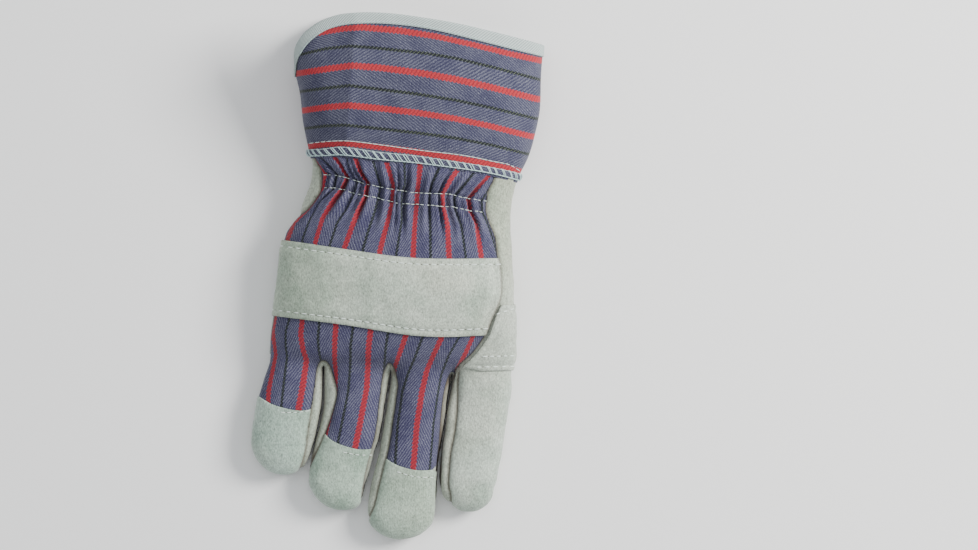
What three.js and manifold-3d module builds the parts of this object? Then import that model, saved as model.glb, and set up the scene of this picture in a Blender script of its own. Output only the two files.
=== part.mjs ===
// Leather palm work glove for the right hand, lying palm down with its thumb folded under the palm.
// Millimetres. +X runs from the little finger to the index side, +Y from the fingertips to the
// cuff, +Z up. The origin is below the middle of the glove, on the surface that it lies on.

import * as THREE from 'three';
import { mergeVertices } from 'three/addons/utils/BufferGeometryUtils.js';
import Module from 'manifold-3d';

const wasm = await Module();
wasm.setup();

// Thicknesses and clearances
const WALL = 1.5;
const LAYER = 1.5;
const SEAM_GAP = 0.3;
const LAYER_GAP = 0.4;
const PATCH_SEAM_GAP = 0.9;
const BINDING_PROUD = 1;
const OVERLOCK_PROUD = 1.2;
const SEAM_BELOW_EDGE = 2.5;

// Fineness of the sections
const HAND_TOP = 48;
const HAND_UNDER = 14;
const CUFF_TOP = 18;
const CUFF_UNDER = 12;
const INNER_TOP = 14;
const INNER_UNDER = 14;
const FINGER_TOP = 8;
const FINGER_UNDER = 6;
const SMALLEST_BODY = 40;
const SMALLEST_EDGE = 0.08;
const ROUNDNESS = 0.85;
const GATHERS = 12;
const ARC_STEPS = 90;
const CORNER_STEPS = 4;
const TIP_STEPS = [0.5, 0.82, 0.97];

// Room for the folded thumb below the palm: clearance over it, and how the palm comes down beside it
// as shares of the thumb's half width
const THUMB_CLEARANCE = LAYER + LAYER_GAP + 2 * SEAM_GAP;
const THUMB_PLATEAU = 0.6;
const THUMB_SLOPE = 1.4;
const THUMB_TIP_SHARE = 0.5;
const THUMB_WIDTH_AT_TIP = 9;

// Extents that are safely outside the glove
const FAR = 95;
const LENGTH_REACH = 150;
const HIGH = 90;
const LOW = -10;

// Height of the glove's side edge at its little finger side and its index side, along its length
const EDGE_REACH = 70;
const EDGE_HEIGHTS = [
  { y: 145, little: 24, index: 17 },
  { y: 57, little: 18, index: 17 },
  { y: 20, little: 13, index: 20 },
  { y: -10, little: 11, index: 21 },
  { y: -40, little: 10, index: 14 },
  { y: -56, little: 8.5, index: 8.5 },
  { y: -140, little: 8, index: 8 },
];

// The surface between the back and the palm: how far it arches, along the glove and across it
const PARTING_ROWS = [
  { y: 145, arch: 0 }, { y: 57, arch: 0 }, { y: 40, arch: 5 }, { y: 20, arch: 8 }, { y: 0, arch: 8.5 },
  { y: -20, arch: 9 }, { y: -40, arch: 9 }, { y: -50, arch: 7 }, { y: -60, arch: 0 }, { y: -140, arch: 0 },
];
const PARTING_ACROSS = [
  { x: -FAR, share: 0 }, { x: -45, share: 0 }, { x: -15, share: 1 }, { x: 12, share: 1 },
  { x: 40, share: 0.8 }, { x: 53, share: 0 }, { x: FAR, share: 0 },
];

// Height of the underside above the surface: room for the tab, the patch and the binding
const REST_HEIGHTS = [
  { y: 145, height: BINDING_PROUD },
  { y: 104, height: BINDING_PROUD + 0.4 },
  { y: 84, height: 3.4 },
  { y: 42, height: 3.4 },
  { y: 20, height: 2.1 },
  { y: -48, height: 2.1 },
  { y: -58, height: 0 },
  { y: -140, height: 0 },
];

// Sections of the sleeve, rim to knuckles: left and right edge, crown and underside height,
// shift of the crown towards the little finger as a share of the half width, depth of the gathers
const SLEEVE = [
  { lx: -57, ly: 144, rx: 75.5, ry: 133, crown: 50.5, base: 0, lean: 0.3, gather: 0 },
  { lx: -54, ly: 112, rx: 73, ry: 103, crown: 48, base: 0, lean: 0.3, gather: 0 },
  { lx: -50, ly: 93, rx: 72, ry: 83, crown: 44, base: 0, lean: 0.28, gather: 0 },
  { lx: -47.5, ly: 77, rx: 67.5, ry: 64, crown: 40, base: 0, lean: 0.2, gather: 0 },
  { lx: -44.5, ly: 64, rx: 62, ry: 52, crown: 36, base: 0, lean: 0.1, gather: 0 },
  { lx: -44, ly: 57, rx: 60, ry: 45, crown: 35.5, base: 0, lean: 0.05, gather: 0.9 },
  { lx: -44.5, ly: 49, rx: 58, ry: 37, crown: 33, base: 0, lean: 0, gather: 0.45 },
  { lx: -46.5, ly: 42, rx: 57.5, ry: 30, crown: 33.5, base: 0, lean: 0, gather: 0.9 },
  { lx: -51, ly: 31, rx: 57.5, ry: 22, crown: 36, base: 0, lean: -0.05, gather: 1.1 },
  { lx: -57.5, ly: 19, rx: 58, ry: 11, crown: 37, base: -1, lean: -0.1, gather: 0.3 },
  { lx: -60.5, ly: -4, rx: 59, ry: -7, crown: 38.5, base: -2, lean: -0.15, gather: 0 },
  { lx: -63, ly: -21, rx: 59.5, ry: -24, crown: 35.5, base: -3, lean: -0.1, gather: 0 },
  { lx: -65, ly: -35, rx: 59.5, ry: -38, crown: 29.5, base: -3, lean: 0, gather: 0 },
  { lx: -65.5, ly: -41, rx: 59, ry: -47, crown: 24, base: -2, lean: 0, gather: 0 },
  { lx: -64, ly: -44, rx: 57.5, ry: -50.5, crown: 15.5, base: 0, lean: 0, gather: 0 },
];

// Sections of each finger, root to tip: left and right edge, crown height. The last row is the tip.
const FINGERS = {
  little: [
    { lx: -61, ly: -31, rx: -37, ry: -34, crown: 17.5 },
    { lx: -67.5, ly: -49, rx: -38.5, ry: -53, crown: 18.5 },
    { lx: -71, ly: -62, rx: -39, ry: -66, crown: 17.5 },
    { lx: -73.8, ly: -76, rx: -41.5, ry: -80, crown: 17 },
    { lx: -75, ly: -85, rx: -44.5, ry: -88, crown: 16.5 },
    { lx: -59.5, ly: -101.5, rx: -59.5, ry: -101.5, crown: 8 },
  ],
  ring: [
    { lx: -37.5, ly: -31, rx: -4.5, ry: -34, crown: 24 },
    { lx: -37.5, ly: -40.5, rx: -4.5, ry: -43, crown: 22.5 },
    { lx: -37.5, ly: -49, rx: -4.5, ry: -52, crown: 20.5 },
    { lx: -37, ly: -60, rx: -6, ry: -63, crown: 19 },
    { lx: -39, ly: -72, rx: -7.5, ry: -75, crown: 18.5 },
    { lx: -42.5, ly: -84.5, rx: -10.5, ry: -87.5, crown: 18 },
    { lx: -45, ly: -97.5, rx: -14, ry: -100.5, crown: 17.5 },
    { lx: -46, ly: -104, rx: -15.5, ry: -106.5, crown: 17 },
    { lx: -29, ly: -119.5, rx: -29, ry: -119.5, crown: 8 },
  ],
  middle: [
    { lx: -3.5, ly: -31, rx: 27.5, ry: -35, crown: 26 },
    { lx: -3.2, ly: -40.5, rx: 27.5, ry: -44.5, crown: 24.5 },
    { lx: -3, ly: -49.5, rx: 27.5, ry: -54, crown: 22 },
    { lx: -4.5, ly: -61, rx: 25.5, ry: -65, crown: 20 },
    { lx: -6.5, ly: -75, rx: 23, ry: -79.5, crown: 19 },
    { lx: -9, ly: -87.5, rx: 21, ry: -92, crown: 18.5 },
    { lx: -12.5, ly: -99.5, rx: 20, ry: -104, crown: 18 },
    { lx: -14.5, ly: -110, rx: 20, ry: -113.5, crown: 17.5 },
    { lx: -15.5, ly: -118, rx: 19, ry: -120.5, crown: 17 },
    { lx: 0, ly: -134.5, rx: 0, ry: -134.5, crown: 8 },
  ],
  index: [
    { lx: 28.5, ly: -34, rx: 55.5, ry: -37, crown: 20.5 },
    { lx: 28, ly: -50.5, rx: 58.5, ry: -55, crown: 20 },
    { lx: 26, ly: -63, rx: 57, ry: -67, crown: 18.5 },
    { lx: 24, ly: -76, rx: 55, ry: -80.5, crown: 18 },
    { lx: 22, ly: -88.5, rx: 53, ry: -92.5, crown: 17.5 },
    { lx: 21, ly: -100.5, rx: 50.5, ry: -104, crown: 17 },
    { lx: 21.5, ly: -106, rx: 49, ry: -108.5, crown: 16.5 },
    { lx: 35.5, ly: -120.5, rx: 35.5, ry: -120.5, crown: 8 },
  ],
};

// Sections of the folded thumb, root to tip: both edges with their heights, then the half thickness
const THUMB = [
  { lx: 40, ly: 45, lz: 13, rx: 56, ry: 39, rz: 15, half: 9 },
  { lx: 31, ly: 31, lz: 9, rx: 56.5, ry: 21, rz: 14, half: 8.5 },
  { lx: 23.5, ly: 14.5, lz: 7.5, rx: 55, ry: 1.5, rz: 12, half: 8 },
  { lx: 16, ly: -2, lz: 6, rx: 46.5, ry: -16, rz: 7, half: 6.8 },
  { lx: 8.5, ly: -18, lz: 5.5, rx: 38, ry: -31, rz: 5.5, half: 5.8 },
  { lx: 4, ly: -28, lz: 5, rx: 31, ry: -38.5, rz: 5, half: 5.2 },
  { lx: 13.5, ly: -44.5, lz: 5, rx: 13.5, ry: -44.5, rz: 5, half: 5 },
];

// Seams and edges seen from above, each from the cuff or the left towards the fingers or the right
const RIM = [
  [-FAR, 96], [-54.3, 109.5], [-53, 115], [-49.8, 122], [-45, 127], [-38, 131.4], [-30, 133.5],
  [-17, 134.3], [-4, 133.9], [10, 132.5], [28, 130], [46, 126], [62, 121.7], [75, 117.7], [FAR, 111],
];
const RIM_INNER = [
  [-FAR, 92], [-53, 104.5], [-50.5, 111.5], [-46.7, 118.5], [-42, 123], [-36, 126.5], [-29, 128.1],
  [-17, 128.6], [-4, 128.1], [10, 126.8], [28, 124.2], [46, 120.2], [62, 115.9], [75, 111.9], [FAR, 105],
];
const CUFF_SEAM_UPPER = [
  [-FAR, 65.5], [-45.5, 64.5], [-4, 62.7], [10, 61.8], [41, 57.4], [62, 52.3], [FAR, 43],
];
const CUFF_SEAM_LOWER = [
  [-FAR, 62.5], [-44.5, 61.5], [-4, 59.2], [10, 58], [41, 53.7], [61.5, 48.8], [FAR, 39],
];
const LEATHER_AT_WRIST = [
  [-44, 70], [-43, 59.5], [-40.5, 55.5], [-39.5, 51.5], [-39.5, 45.5], [-41, 41.5], [-48, 33.5], [-56, 29],
];
const INDEX_SIDE_SEAM = [
  [51.5, 70], [50.6, 57], [49.6, 50], [46.4, 43.4], [45.4, 37], [45.9, 30.7], [49.8, 21], [51.6, 9.5],
  [52.7, -3], [52, -11.5], [48.6, -20.5], [45, -30], [38.5, -39], [31.5, -46],
];
const MIDDLE_INDEX_SEAM = [
  [31.5, -46], [26.5, -53], [23.5, -64], [21.5, -83.5], [19, -98.5], [18.5, -116.5], [21.5, -127],
];
const INDEX_BACK_SEAM = [
  [31.5, -46], [30, -54], [30, -63], [29, -77.5], [26.5, -92], [25.5, -106], [26.5, -113], [25.5, -127],
];
const RING_MIDDLE_LEATHER = [
  [-16, -124], [-12.5, -117], [-10.5, -109], [-8, -99.5], [-4.5, -83.5], [-1.5, -60.5], [-1, -54],
  [-3.5, -45.5], [-6, -47.5], [-8.5, -63], [-11, -81.5], [-14.5, -94.5], [-17, -107], [-17.5, -114],
];
const LITTLE_RING_LEATHER = [
  [-53, -108], [-47.5, -99.5], [-42, -89.5], [-37.5, -79.5], [-32.5, -64], [-32, -57], [-35.5, -46],
  [-38.5, -44], [-40.5, -47], [-42.5, -61], [-45.5, -78.5], [-47, -90], [-49, -97.5],
];
const LITTLE_CAP_SEAM = [[-80, -57], [-73.5, -59.5], [-63.5, -65.5], [-50, -68.5], [-41, -67]];
const RING_CAP_SEAM = [[-41, -76], [-34, -83.5], [-21.5, -88], [-8, -88]];
const MIDDLE_CAP_SEAM = [[-9, -91], [-2, -95.5], [5, -98], [12.5, -99], [24, -98]];
const STRAP = [
  [-FAR, 22], [-58.5, 18.5], [-27, 14], [1, 10], [21.5, 9], [50.4, 9.2], [51.5, -3], [50.9, -11.2],
  [47.5, -20], [43.9, -29.2], [11.5, -30], [-27, -24.5], [-64, -20], [-FAR, -16.5],
];
const PATCH_TOP = [[-FAR, 9], [20, -5], [FAR, -20]];
const PATCH_BOTTOM = [[-FAR, -38], [20, -44], [FAR, -49]];

// Where the leather of each finger begins, and what divides the fingers from one another
const FINGER_BASE = [
  [-FAR, -57], [-70, -56], [-38.4, -53], [-3.8, -52], [27.8, -53], [60, -57], [FAR, -58],
];
const DIVIDERS = [
  [[-FAR, -40], [-FAR, -150]],
  [
    [-38, -44], [-38.1, -54], [-38, -64], [-40, -74], [-42.8, -85], [-45.8, -97.5], [-47, -104],
    [-47, -150],
  ],
  [
    [-3.8, -44], [-3.8, -52], [-5.2, -62], [-7, -75], [-9.8, -87.5], [-13.2, -100], [-15.5, -108],
    [-17, -150],
  ],
  [[27.8, -44], [27.6, -53], [25.7, -64], [23.5, -78], [21.5, -90], [20.5, -101], [20.5, -150]],
  [[FAR, -40], [FAR, -150]],
];

const TAB = { left: -22, right: 37, top: 77, bottom: 45, corner: 11, skew: -0.12 };

// Sides of the panels that lie outside the glove
const CAP_ENDS = {
  little: [[-50.5, -101], [-55, -112], [-80, -112]],
  ring: [[-16.5, -104], [-17.5, -130], [-53, -130], [-52, -107], [-47.5, -98]],
  middle: [[21.5, -140], [-18, -140]],
};
const INDEX_SIDE = [[25.5, -140], [FAR, -140], [FAR, 70]];
const LITTLE_SIDE = [[-FAR, 29], [-FAR, -57]];
const PATCH_SIDE = [[FAR, -60], [FAR, 70]];

const join = (solids) => solids.reduce((sum, one) => sum.add(one));
const between = (a, b, share) => a + (b - a) * share;
const clamp = (value, low, high) => Math.min(high, Math.max(low, value));
const smooth = (share) => share * share * (3 - 2 * share);

// A named column of a table whose rows run from high y to low y
function alongLength(table, y, column) {
  const after = clamp(table.findIndex((row) => row.y <= y), 1, table.length - 1);
  const upper = table[after - 1];
  const lower = table[after];
  return between(upper[column], lower[column], clamp((upper.y - y) / (upper.y - lower.y), 0, 1));
}

function edgeHeight(x, y) {
  const across = clamp((x + EDGE_REACH) / (2 * EDGE_REACH), 0, 1);
  return between(alongLength(EDGE_HEIGHTS, y, 'little'), alongLength(EDGE_HEIGHTS, y, 'index'), across);
}

// How high the palm has to stand at a point to clear the thumb below it
function thumbLift(x, y) {
  let lift = 0;
  for (let i = 1; i < THUMB.length - 1; i += 1) {
    const [from, to] = [THUMB[i], THUMB[i + 1]];
    const start = new THREE.Vector2((from.lx + from.rx) / 2, (from.ly + from.ry) / 2);
    const along = new THREE.Vector2((to.lx + to.rx) / 2, (to.ly + to.ry) / 2).sub(start);
    const end = i === THUMB.length - 2 ? THUMB_TIP_SHARE : 1;
    const share = clamp(new THREE.Vector2(x, y).sub(start).dot(along) / along.lengthSq(), 0, end);
    const distance = start.clone().addScaledVector(along, share).distanceTo(new THREE.Vector2(x, y));
    const halfWidth = (row) => Math.hypot(row.rx - row.lx, row.ry - row.ly) / 2;
    const reach = Math.max(between(halfWidth(from), halfWidth(to), share), THUMB_WIDTH_AT_TIP);
    const near = clamp(1 - (distance - THUMB_PLATEAU * reach) / (THUMB_SLOPE * reach), 0, 1);
    const height = between((from.lz + from.rz) / 2 + from.half, (to.lz + to.rz) / 2 + to.half, share);
    const open = i === 1 ? smooth(share) : 1;
    lift = Math.max(lift, open * smooth(near) * (height + THUMB_CLEARANCE));
  }
  return lift;
}

function restHeight(x, y) {
  return Math.max(alongLength(REST_HEIGHTS, y, 'height'), thumbLift(x, y));
}

// Points at equal steps along a polyline, without its last point
function resample(line, count) {
  const reach = [0];
  for (let i = 1; i < line.length; i += 1) {
    reach.push(reach[i - 1] + Math.hypot(line[i][0] - line[i - 1][0], line[i][1] - line[i - 1][1]));
  }
  const points = [];
  let piece = 1;
  for (let i = 0; i < count; i += 1) {
    const target = (reach[reach.length - 1] * i) / count;
    while (reach[piece] < target) {
      piece += 1;
    }
    const share = (target - reach[piece - 1]) / (reach[piece] - reach[piece - 1]);
    points.push([
      between(line[piece - 1][0], line[piece][0], share),
      between(line[piece - 1][1], line[piece][1], share),
    ]);
  }
  return points;
}

// One closed section between two edges, from the right edge over the top to the left and back below
function section(shape, grow, topCount, underCount) {
  const { left, right, top, under, lean, gather } = shape;
  const chord = new THREE.Vector3().subVectors(right, left);
  const half = chord.length() / 2;
  const middle = new THREE.Vector3().addVectors(left, right).divideScalar(2);
  const side = new THREE.Vector2(chord.x, chord.y).normalize();
  const at = (t) => [middle.x + side.x * t, middle.y + side.y * t];
  const arc = (from, to, heightAt) => {
    const line = [];
    for (let i = 0; i <= ARC_STEPS; i += 1) {
      const angle = between(from, to, i / ARC_STEPS);
      const swing = Math.sign(Math.cos(angle)) * Math.abs(Math.cos(angle)) ** ROUNDNESS;
      const bulge = Math.abs(Math.sin(angle)) ** ROUNDNESS;
      line.push(heightAt(half * swing, bulge));
    }
    return line;
  };
  const edge = (t) => between(left.z, right.z, (t / half + 1) / 2);
  const over = (t, bulge) => [t - lean * half * bulge * bulge, edge(t) + top * bulge];
  const below = (t, bulge) => {
    const floor = shape.free ? 0 : Math.min(restHeight(...at(t)), edge(t));
    return [t, Math.max(edge(t) - under * bulge, floor)];
  };
  const upper = resample(arc(0, Math.PI, over), topCount).map(([t, z], i) => {
    const fold = Math.cos((2 * Math.PI * GATHERS * i) / topCount) * Math.sin((Math.PI * i) / topCount);
    return [t, z + gather * fold];
  });
  const lower = resample(arc(Math.PI, 2 * Math.PI, below), underCount);
  const ring = [...upper, ...lower];
  return ring.map(([t, z], i) => {
    const before = ring[(i + ring.length - 1) % ring.length];
    const after = ring[(i + 1) % ring.length];
    const normal = new THREE.Vector2(after[1] - before[1], before[0] - after[0]).normalize();
    const [x, y] = at(t + grow * normal.x);
    return new THREE.Vector3(x, y, z + grow * normal.y);
  });
}

// The triangles that close a ring whose points run out along one side up to the corner and back
// along the other
function endFace(size, corner) {
  const face = [[0, 1, size - 1]];
  let [near, far] = [1, size - 1];
  while (near < corner - 1 || far > corner + 1) {
    const ahead = near < corner - 1 && near / corner <= (size - far) / (size - corner);
    if (ahead || far === corner + 1) {
      face.push([near, near + 1, far]);
      near += 1;
    } else {
      face.push([near, far - 1, far]);
      far -= 1;
    }
  }
  face.push([corner - 1, corner, corner + 1]);
  return face;
}

// A closed solid through rings of points that all have the same number of points
function loft(rings, corner) {
  const size = rings[0].length;
  const positions = rings.flat();
  const triangles = [];
  for (let r = 0; r + 1 < rings.length; r += 1) {
    for (let i = 0; i < size; i += 1) {
      const [a, b] = [r * size + i, r * size + ((i + 1) % size)];
      triangles.push(a, b, b + size, a, b + size, a + size);
    }
  }
  const lastRing = (rings.length - 1) * size;
  for (const [a, b, c] of endFace(size, corner)) {
    triangles.push(c, b, a, lastRing + a, lastRing + b, lastRing + c);
  }
  return solid(new Float32Array(positions.flatMap((p) => p.toArray())), new Uint32Array(triangles));
}

function solid(vertProperties, triVerts) {
  const made = new wasm.Manifold(new wasm.Mesh({ numProp: 3, vertProperties, triVerts }));
  return made.volume() < 0 ? solid(vertProperties, triVerts.reverse()) : made;
}

function fromGeometry(geometry) {
  geometry.deleteAttribute('normal');
  geometry.deleteAttribute('uv');
  const merged = mergeVertices(geometry, 1e-4);
  return solid(merged.attributes.position.array, new Uint32Array(merged.index.array));
}

// An upright prism over an outline seen from above
function prism(outline, low = LOW, high = HIGH) {
  const shape = new THREE.Shape(outline.map(([x, y]) => new THREE.Vector2(x, y)));
  const geometry = new THREE.ExtrudeGeometry(shape, { depth: high - low, bevelEnabled: false });
  geometry.translate(0, 0, low);
  return fromGeometry(geometry);
}

// The line moved sideways, to its left for a positive distance
function beside(line, distance) {
  return line.map(([x, y], i) => {
    const [ax, ay] = line[Math.max(i - 1, 0)];
    const [bx, by] = line[Math.min(i + 1, line.length - 1)];
    const length = Math.hypot(bx - ax, by - ay);
    return [x - ((by - ay) / length) * distance, y + ((bx - ax) / length) * distance];
  });
}

// A thin upright blade along a seam, one short board for each stretch
function blade(line) {
  const boards = line.slice(1).map(([bx, by], i) => {
    const [ax, ay] = line[i];
    const length = Math.hypot(bx - ax, by - ay);
    const [dx, dy] = [((bx - ax) / length) * (SEAM_GAP / 2), ((by - ay) / length) * (SEAM_GAP / 2)];
    return prism([
      [ax - dx - dy, ay - dy + dx], [ax - dx + dy, ay - dy - dx],
      [bx + dx + dy, by + dy - dx], [bx + dx - dy, by + dy + dx],
    ]);
  });
  return join(boards);
}

const closed = (line) => [...line, line[0]];

// Everything above (or below) the surface that parts the back from the palm: it meets the glove's
// sides just below their widest line and arches between the two skins inside
function sideOf(sign) {
  return loft(PARTING_ROWS.map(({ y, arch }) => {
    const line = PARTING_ACROSS.map(({ x, share }) => (
      new THREE.Vector3(x, y, edgeHeight(x, y) - SEAM_BELOW_EDGE + arch * share + (sign * SEAM_GAP) / 2)
    ));
    const far = sign > 0 ? HIGH : LOW;
    return [...line, new THREE.Vector3(FAR, y, far), new THREE.Vector3(-FAR, y, far)];
  }), PARTING_ACROSS.length - 1);
}

function sleeve(grow, topCount, underCount) {
  const rings = SLEEVE.map((row) => {
    const left = new THREE.Vector3(row.lx, row.ly, edgeHeight(row.lx, row.ly));
    const right = new THREE.Vector3(row.rx, row.ry, edgeHeight(row.rx, row.ry));
    const edge = (left.z + right.z) / 2;
    const gather = topCount === HAND_TOP ? row.gather : 0;
    const shape = { left, right, top: row.crown - edge, under: edge - row.base, lean: row.lean, gather };
    return section(shape, grow, topCount, underCount);
  });
  rings[rings.length - 1].forEach((point) => point.setY(point.y - grow));
  return loft(rings, topCount);
}

// A closed tube for a finger or the thumb: its last row is the tip, which is rounded in steps
function tube(shapes, tip, grow) {
  const rings = shapes.map((shape) => section(shape, grow, FINGER_TOP, FINGER_UNDER));
  const last = shapes[shapes.length - 1];
  const middle = new THREE.Vector3().addVectors(last.left, last.right).divideScalar(2);
  const ahead = new THREE.Vector3().subVectors(tip, middle);
  ahead.z = 0;
  const reach = ahead.length() + grow;
  ahead.normalize();
  for (const step of TIP_STEPS) {
    const round = Math.sqrt(1 - step * step);
    const centre = middle.clone().addScaledVector(ahead, reach * step);
    const half = new THREE.Vector3().subVectors(last.right, last.left).multiplyScalar(0.5);
    half.setLength(half.length() + grow).multiplyScalar(round);
    const shape = {
      ...last,
      left: centre.clone().sub(half),
      right: centre.clone().add(half),
      top: (last.top + grow) * round,
      under: (Math.min(last.under, middle.z) + grow) * round,
    };
    rings.push(section(shape, 0, FINGER_TOP, FINGER_UNDER));
  }
  return loft(rings, FINGER_TOP);
}

function finger(name, grow) {
  const rows = FINGERS[name].map((row) => {
    const left = new THREE.Vector3(row.lx, row.ly, edgeHeight(row.lx, row.ly));
    const right = new THREE.Vector3(row.rx, row.ry, edgeHeight(row.rx, row.ry));
    const edge = (left.z + right.z) / 2;
    return { left, right, top: row.crown - edge, under: edge + 2, lean: 0, gather: 0 };
  });
  return tube(rows.slice(0, -1), rows[rows.length - 1].left, grow);
}

function thumbTube(grow) {
  const rows = THUMB.map((row) => ({
    left: new THREE.Vector3(row.lx, row.ly, row.lz),
    right: new THREE.Vector3(row.rx, row.ry, row.rz),
    top: row.half,
    under: row.half,
    lean: 0,
    gather: 0,
    free: true,
  }));
  return tube(rows.slice(0, -1), rows[rows.length - 1].left, grow);
}

const hand = (grow) => join([
  sleeve(grow, HAND_TOP, HAND_UNDER),
  ...Object.keys(FINGERS).map((name) => finger(name, grow)),
]);
const cuffTube = (grow) => sleeve(grow, CUFF_TOP, CUFF_UNDER);

// Regions seen from above: towards the cuff from a line, or towards the fingers from it
const beyond = (line, gap = 0) => prism([...beside(line, gap), [FAR, LENGTH_REACH], [-FAR, LENGTH_REACH]]);
const before = (line, gap = 0) => prism([...beside(line, -gap), [FAR, -LENGTH_REACH], [-FAR, -LENGTH_REACH]]);

const upperSide = sideOf(1);
const lowerSide = sideOf(-1);
const handRegion = before(CUFF_SEAM_LOWER, SEAM_GAP / 2);
const handOuter = hand(0);
const handInner = join([
  sleeve(-WALL, INNER_TOP, INNER_UNDER),
  ...Object.keys(FINGERS).map((name) => finger(name, -WALL)),
]);
const handWall = handOuter.subtract(handInner).intersect(handRegion);

const indexSideSeam = [...INDEX_SIDE_SEAM, ...MIDDLE_INDEX_SEAM.slice(1)];
const seams = join([
  LEATHER_AT_WRIST, indexSideSeam, INDEX_BACK_SEAM, closed(RING_MIDDLE_LEATHER),
  closed(LITTLE_RING_LEATHER), LITTLE_CAP_SEAM, RING_CAP_SEAM, MIDDLE_CAP_SEAM,
].map(blade));
const fingerLeather = prism(RING_MIDDLE_LEATHER).add(prism(LITTLE_RING_LEATHER));

const topOutlines = {
  back_panel: [
    ...LEATHER_AT_WRIST, ...LITTLE_SIDE, ...LITTLE_CAP_SEAM, ...RING_CAP_SEAM,
    ...MIDDLE_CAP_SEAM.slice(0, -1), ...indexSideSeam.slice(0, -2).reverse(),
  ],
  little_fingertip: [...LITTLE_CAP_SEAM, ...CAP_ENDS.little],
  ring_fingertip: [...RING_CAP_SEAM, ...CAP_ENDS.ring],
  middle_fingertip: [...MIDDLE_CAP_SEAM.slice(0, -1), ...MIDDLE_INDEX_SEAM.slice(4), ...CAP_ENDS.middle],
  index_back: [...INDEX_SIDE_SEAM, ...INDEX_BACK_SEAM.slice(1), ...INDEX_SIDE],
};
const topRegions = Object.entries(topOutlines).map(([name, outline]) => (
  [name, name === 'index_back' ? prism(outline) : prism(outline).subtract(fingerLeather)]
));

const parts = {};
for (const [name, region] of topRegions) {
  parts[name] = handWall.intersect(upperSide).intersect(region.subtract(seams));
}

// The palm takes the underside, the sides and the leather between the fingers
const thumbHollow = thumbTube(-WALL);
const topPanels = join([...topRegions.map(([, region]) => region), seams]).subtract(lowerSide);
const palmLeather = handWall.subtract(topPanels).subtract(thumbHollow);
parts.palm = palmLeather.intersect(beyond(FINGER_BASE, SEAM_GAP / 2));
Object.keys(FINGERS).forEach((name, i) => {
  const [left, right] = [beside(DIVIDERS[i], SEAM_GAP / 2), beside(DIVIDERS[i + 1], -SEAM_GAP / 2)];
  const slot = prism([...left, ...right.reverse()]).intersect(before(FINGER_BASE, SEAM_GAP / 2));
  parts[`${name}_front`] = palmLeather.intersect(slot);
});
parts.thumb = thumbTube(0).subtract(thumbHollow).subtract(hand(SEAM_GAP));

// Leather layers that are sewn on
const layer = sleeve(LAYER_GAP + LAYER, HAND_TOP, HAND_UNDER).subtract(hand(LAYER_GAP));
parts.knuckle_strap = layer.intersect(upperSide).intersect(prism(STRAP));

const patchBand = prism([...PATCH_TOP, ...PATCH_BOTTOM.slice().reverse()]);
const patchSide = lowerSide.add(prism([...beside(INDEX_SIDE_SEAM, PATCH_SEAM_GAP), ...PATCH_SIDE]));
parts.palm_patch = layer.intersect(patchBand).intersect(patchSide).subtract(thumbTube(SEAM_GAP));

// The cuff
const cuffOuter = cuffTube(0);
const cuffInner = cuffTube(-WALL);
const insideBinding = before(RIM_INNER, SEAM_GAP / 2);
parts.cuff = cuffOuter.subtract(cuffInner).intersect(insideBinding)
  .intersect(beyond(CUFF_SEAM_UPPER, SEAM_GAP / 2));
parts.cuff_binding = cuffTube(BINDING_PROUD).subtract(cuffTube(-WALL - BINDING_PROUD))
  .intersect(before(RIM)).intersect(beyond(RIM_INNER, SEAM_GAP / 2));
parts.cuff_seam = cuffTube(OVERLOCK_PROUD).subtract(cuffTube(-WALL - SEAM_GAP))
  .intersect(before(CUFF_SEAM_UPPER, SEAM_GAP / 2)).intersect(beyond(CUFF_SEAM_LOWER, SEAM_GAP / 2));

// The tab that reaches from the palm over the cuff, with rounded corners at its top
function tabOutline() {
  const { left, right, top, bottom, corner, skew } = TAB;
  const points = [[left, bottom], [right, bottom]];
  for (const [centreX, start] of [[right - corner, 0], [left + corner, Math.PI / 2]]) {
    for (let step = 0; step <= CORNER_STEPS; step += 1) {
      const angle = start + (Math.PI / 2) * (step / CORNER_STEPS);
      points.push([centreX + corner * Math.cos(angle), top - corner + corner * Math.sin(angle)]);
    }
  }
  return points.map(([x, y]) => [x, y + skew * x]);
}
const tabInner = SEAM_GAP + OVERLOCK_PROUD;
parts.pulse_tab = cuffTube(tabInner + LAYER).subtract(cuffTube(tabInner)).intersect(lowerSide)
  .intersect(prism(tabOutline()));

const LEATHER = { color: 0xb9bdb0, roughness: 0.95 };
const CANVAS = { color: 0x666a8a, roughness: 0.9 };
const TAPE = { color: 0xd3dad8, roughness: 0.85 };
const finishes = {
  back_panel: CANVAS,
  cuff: CANVAS,
  cuff_binding: TAPE,
  cuff_seam: TAPE,
};

// Slivers that a cut leaves behind are dropped, and the tiny edges beside a cut are closed up
function withoutCrumbs(body) {
  const pieces = body.asOriginal().simplify(SMALLEST_EDGE).decompose();
  return join(pieces.filter((piece) => piece.volume() > SMALLEST_BODY));
}

const glove = new THREE.Group();
for (const [name, body] of Object.entries(parts)) {
  const { vertProperties, triVerts } = withoutCrumbs(body).getMesh();
  const geometry = new THREE.BufferGeometry();
  geometry.setAttribute('position', new THREE.BufferAttribute(vertProperties, 3));
  geometry.setIndex(new THREE.BufferAttribute(triVerts, 1));
  geometry.computeVertexNormals();
  const mesh = new THREE.Mesh(geometry, new THREE.MeshStandardMaterial(finishes[name] ?? LEATHER));
  mesh.name = name;
  glove.add(mesh);
}

export default glove;
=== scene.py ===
import math

import bpy
import numpy as np
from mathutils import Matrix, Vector, noise
from mathutils.bvhtree import BVHTree


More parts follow.
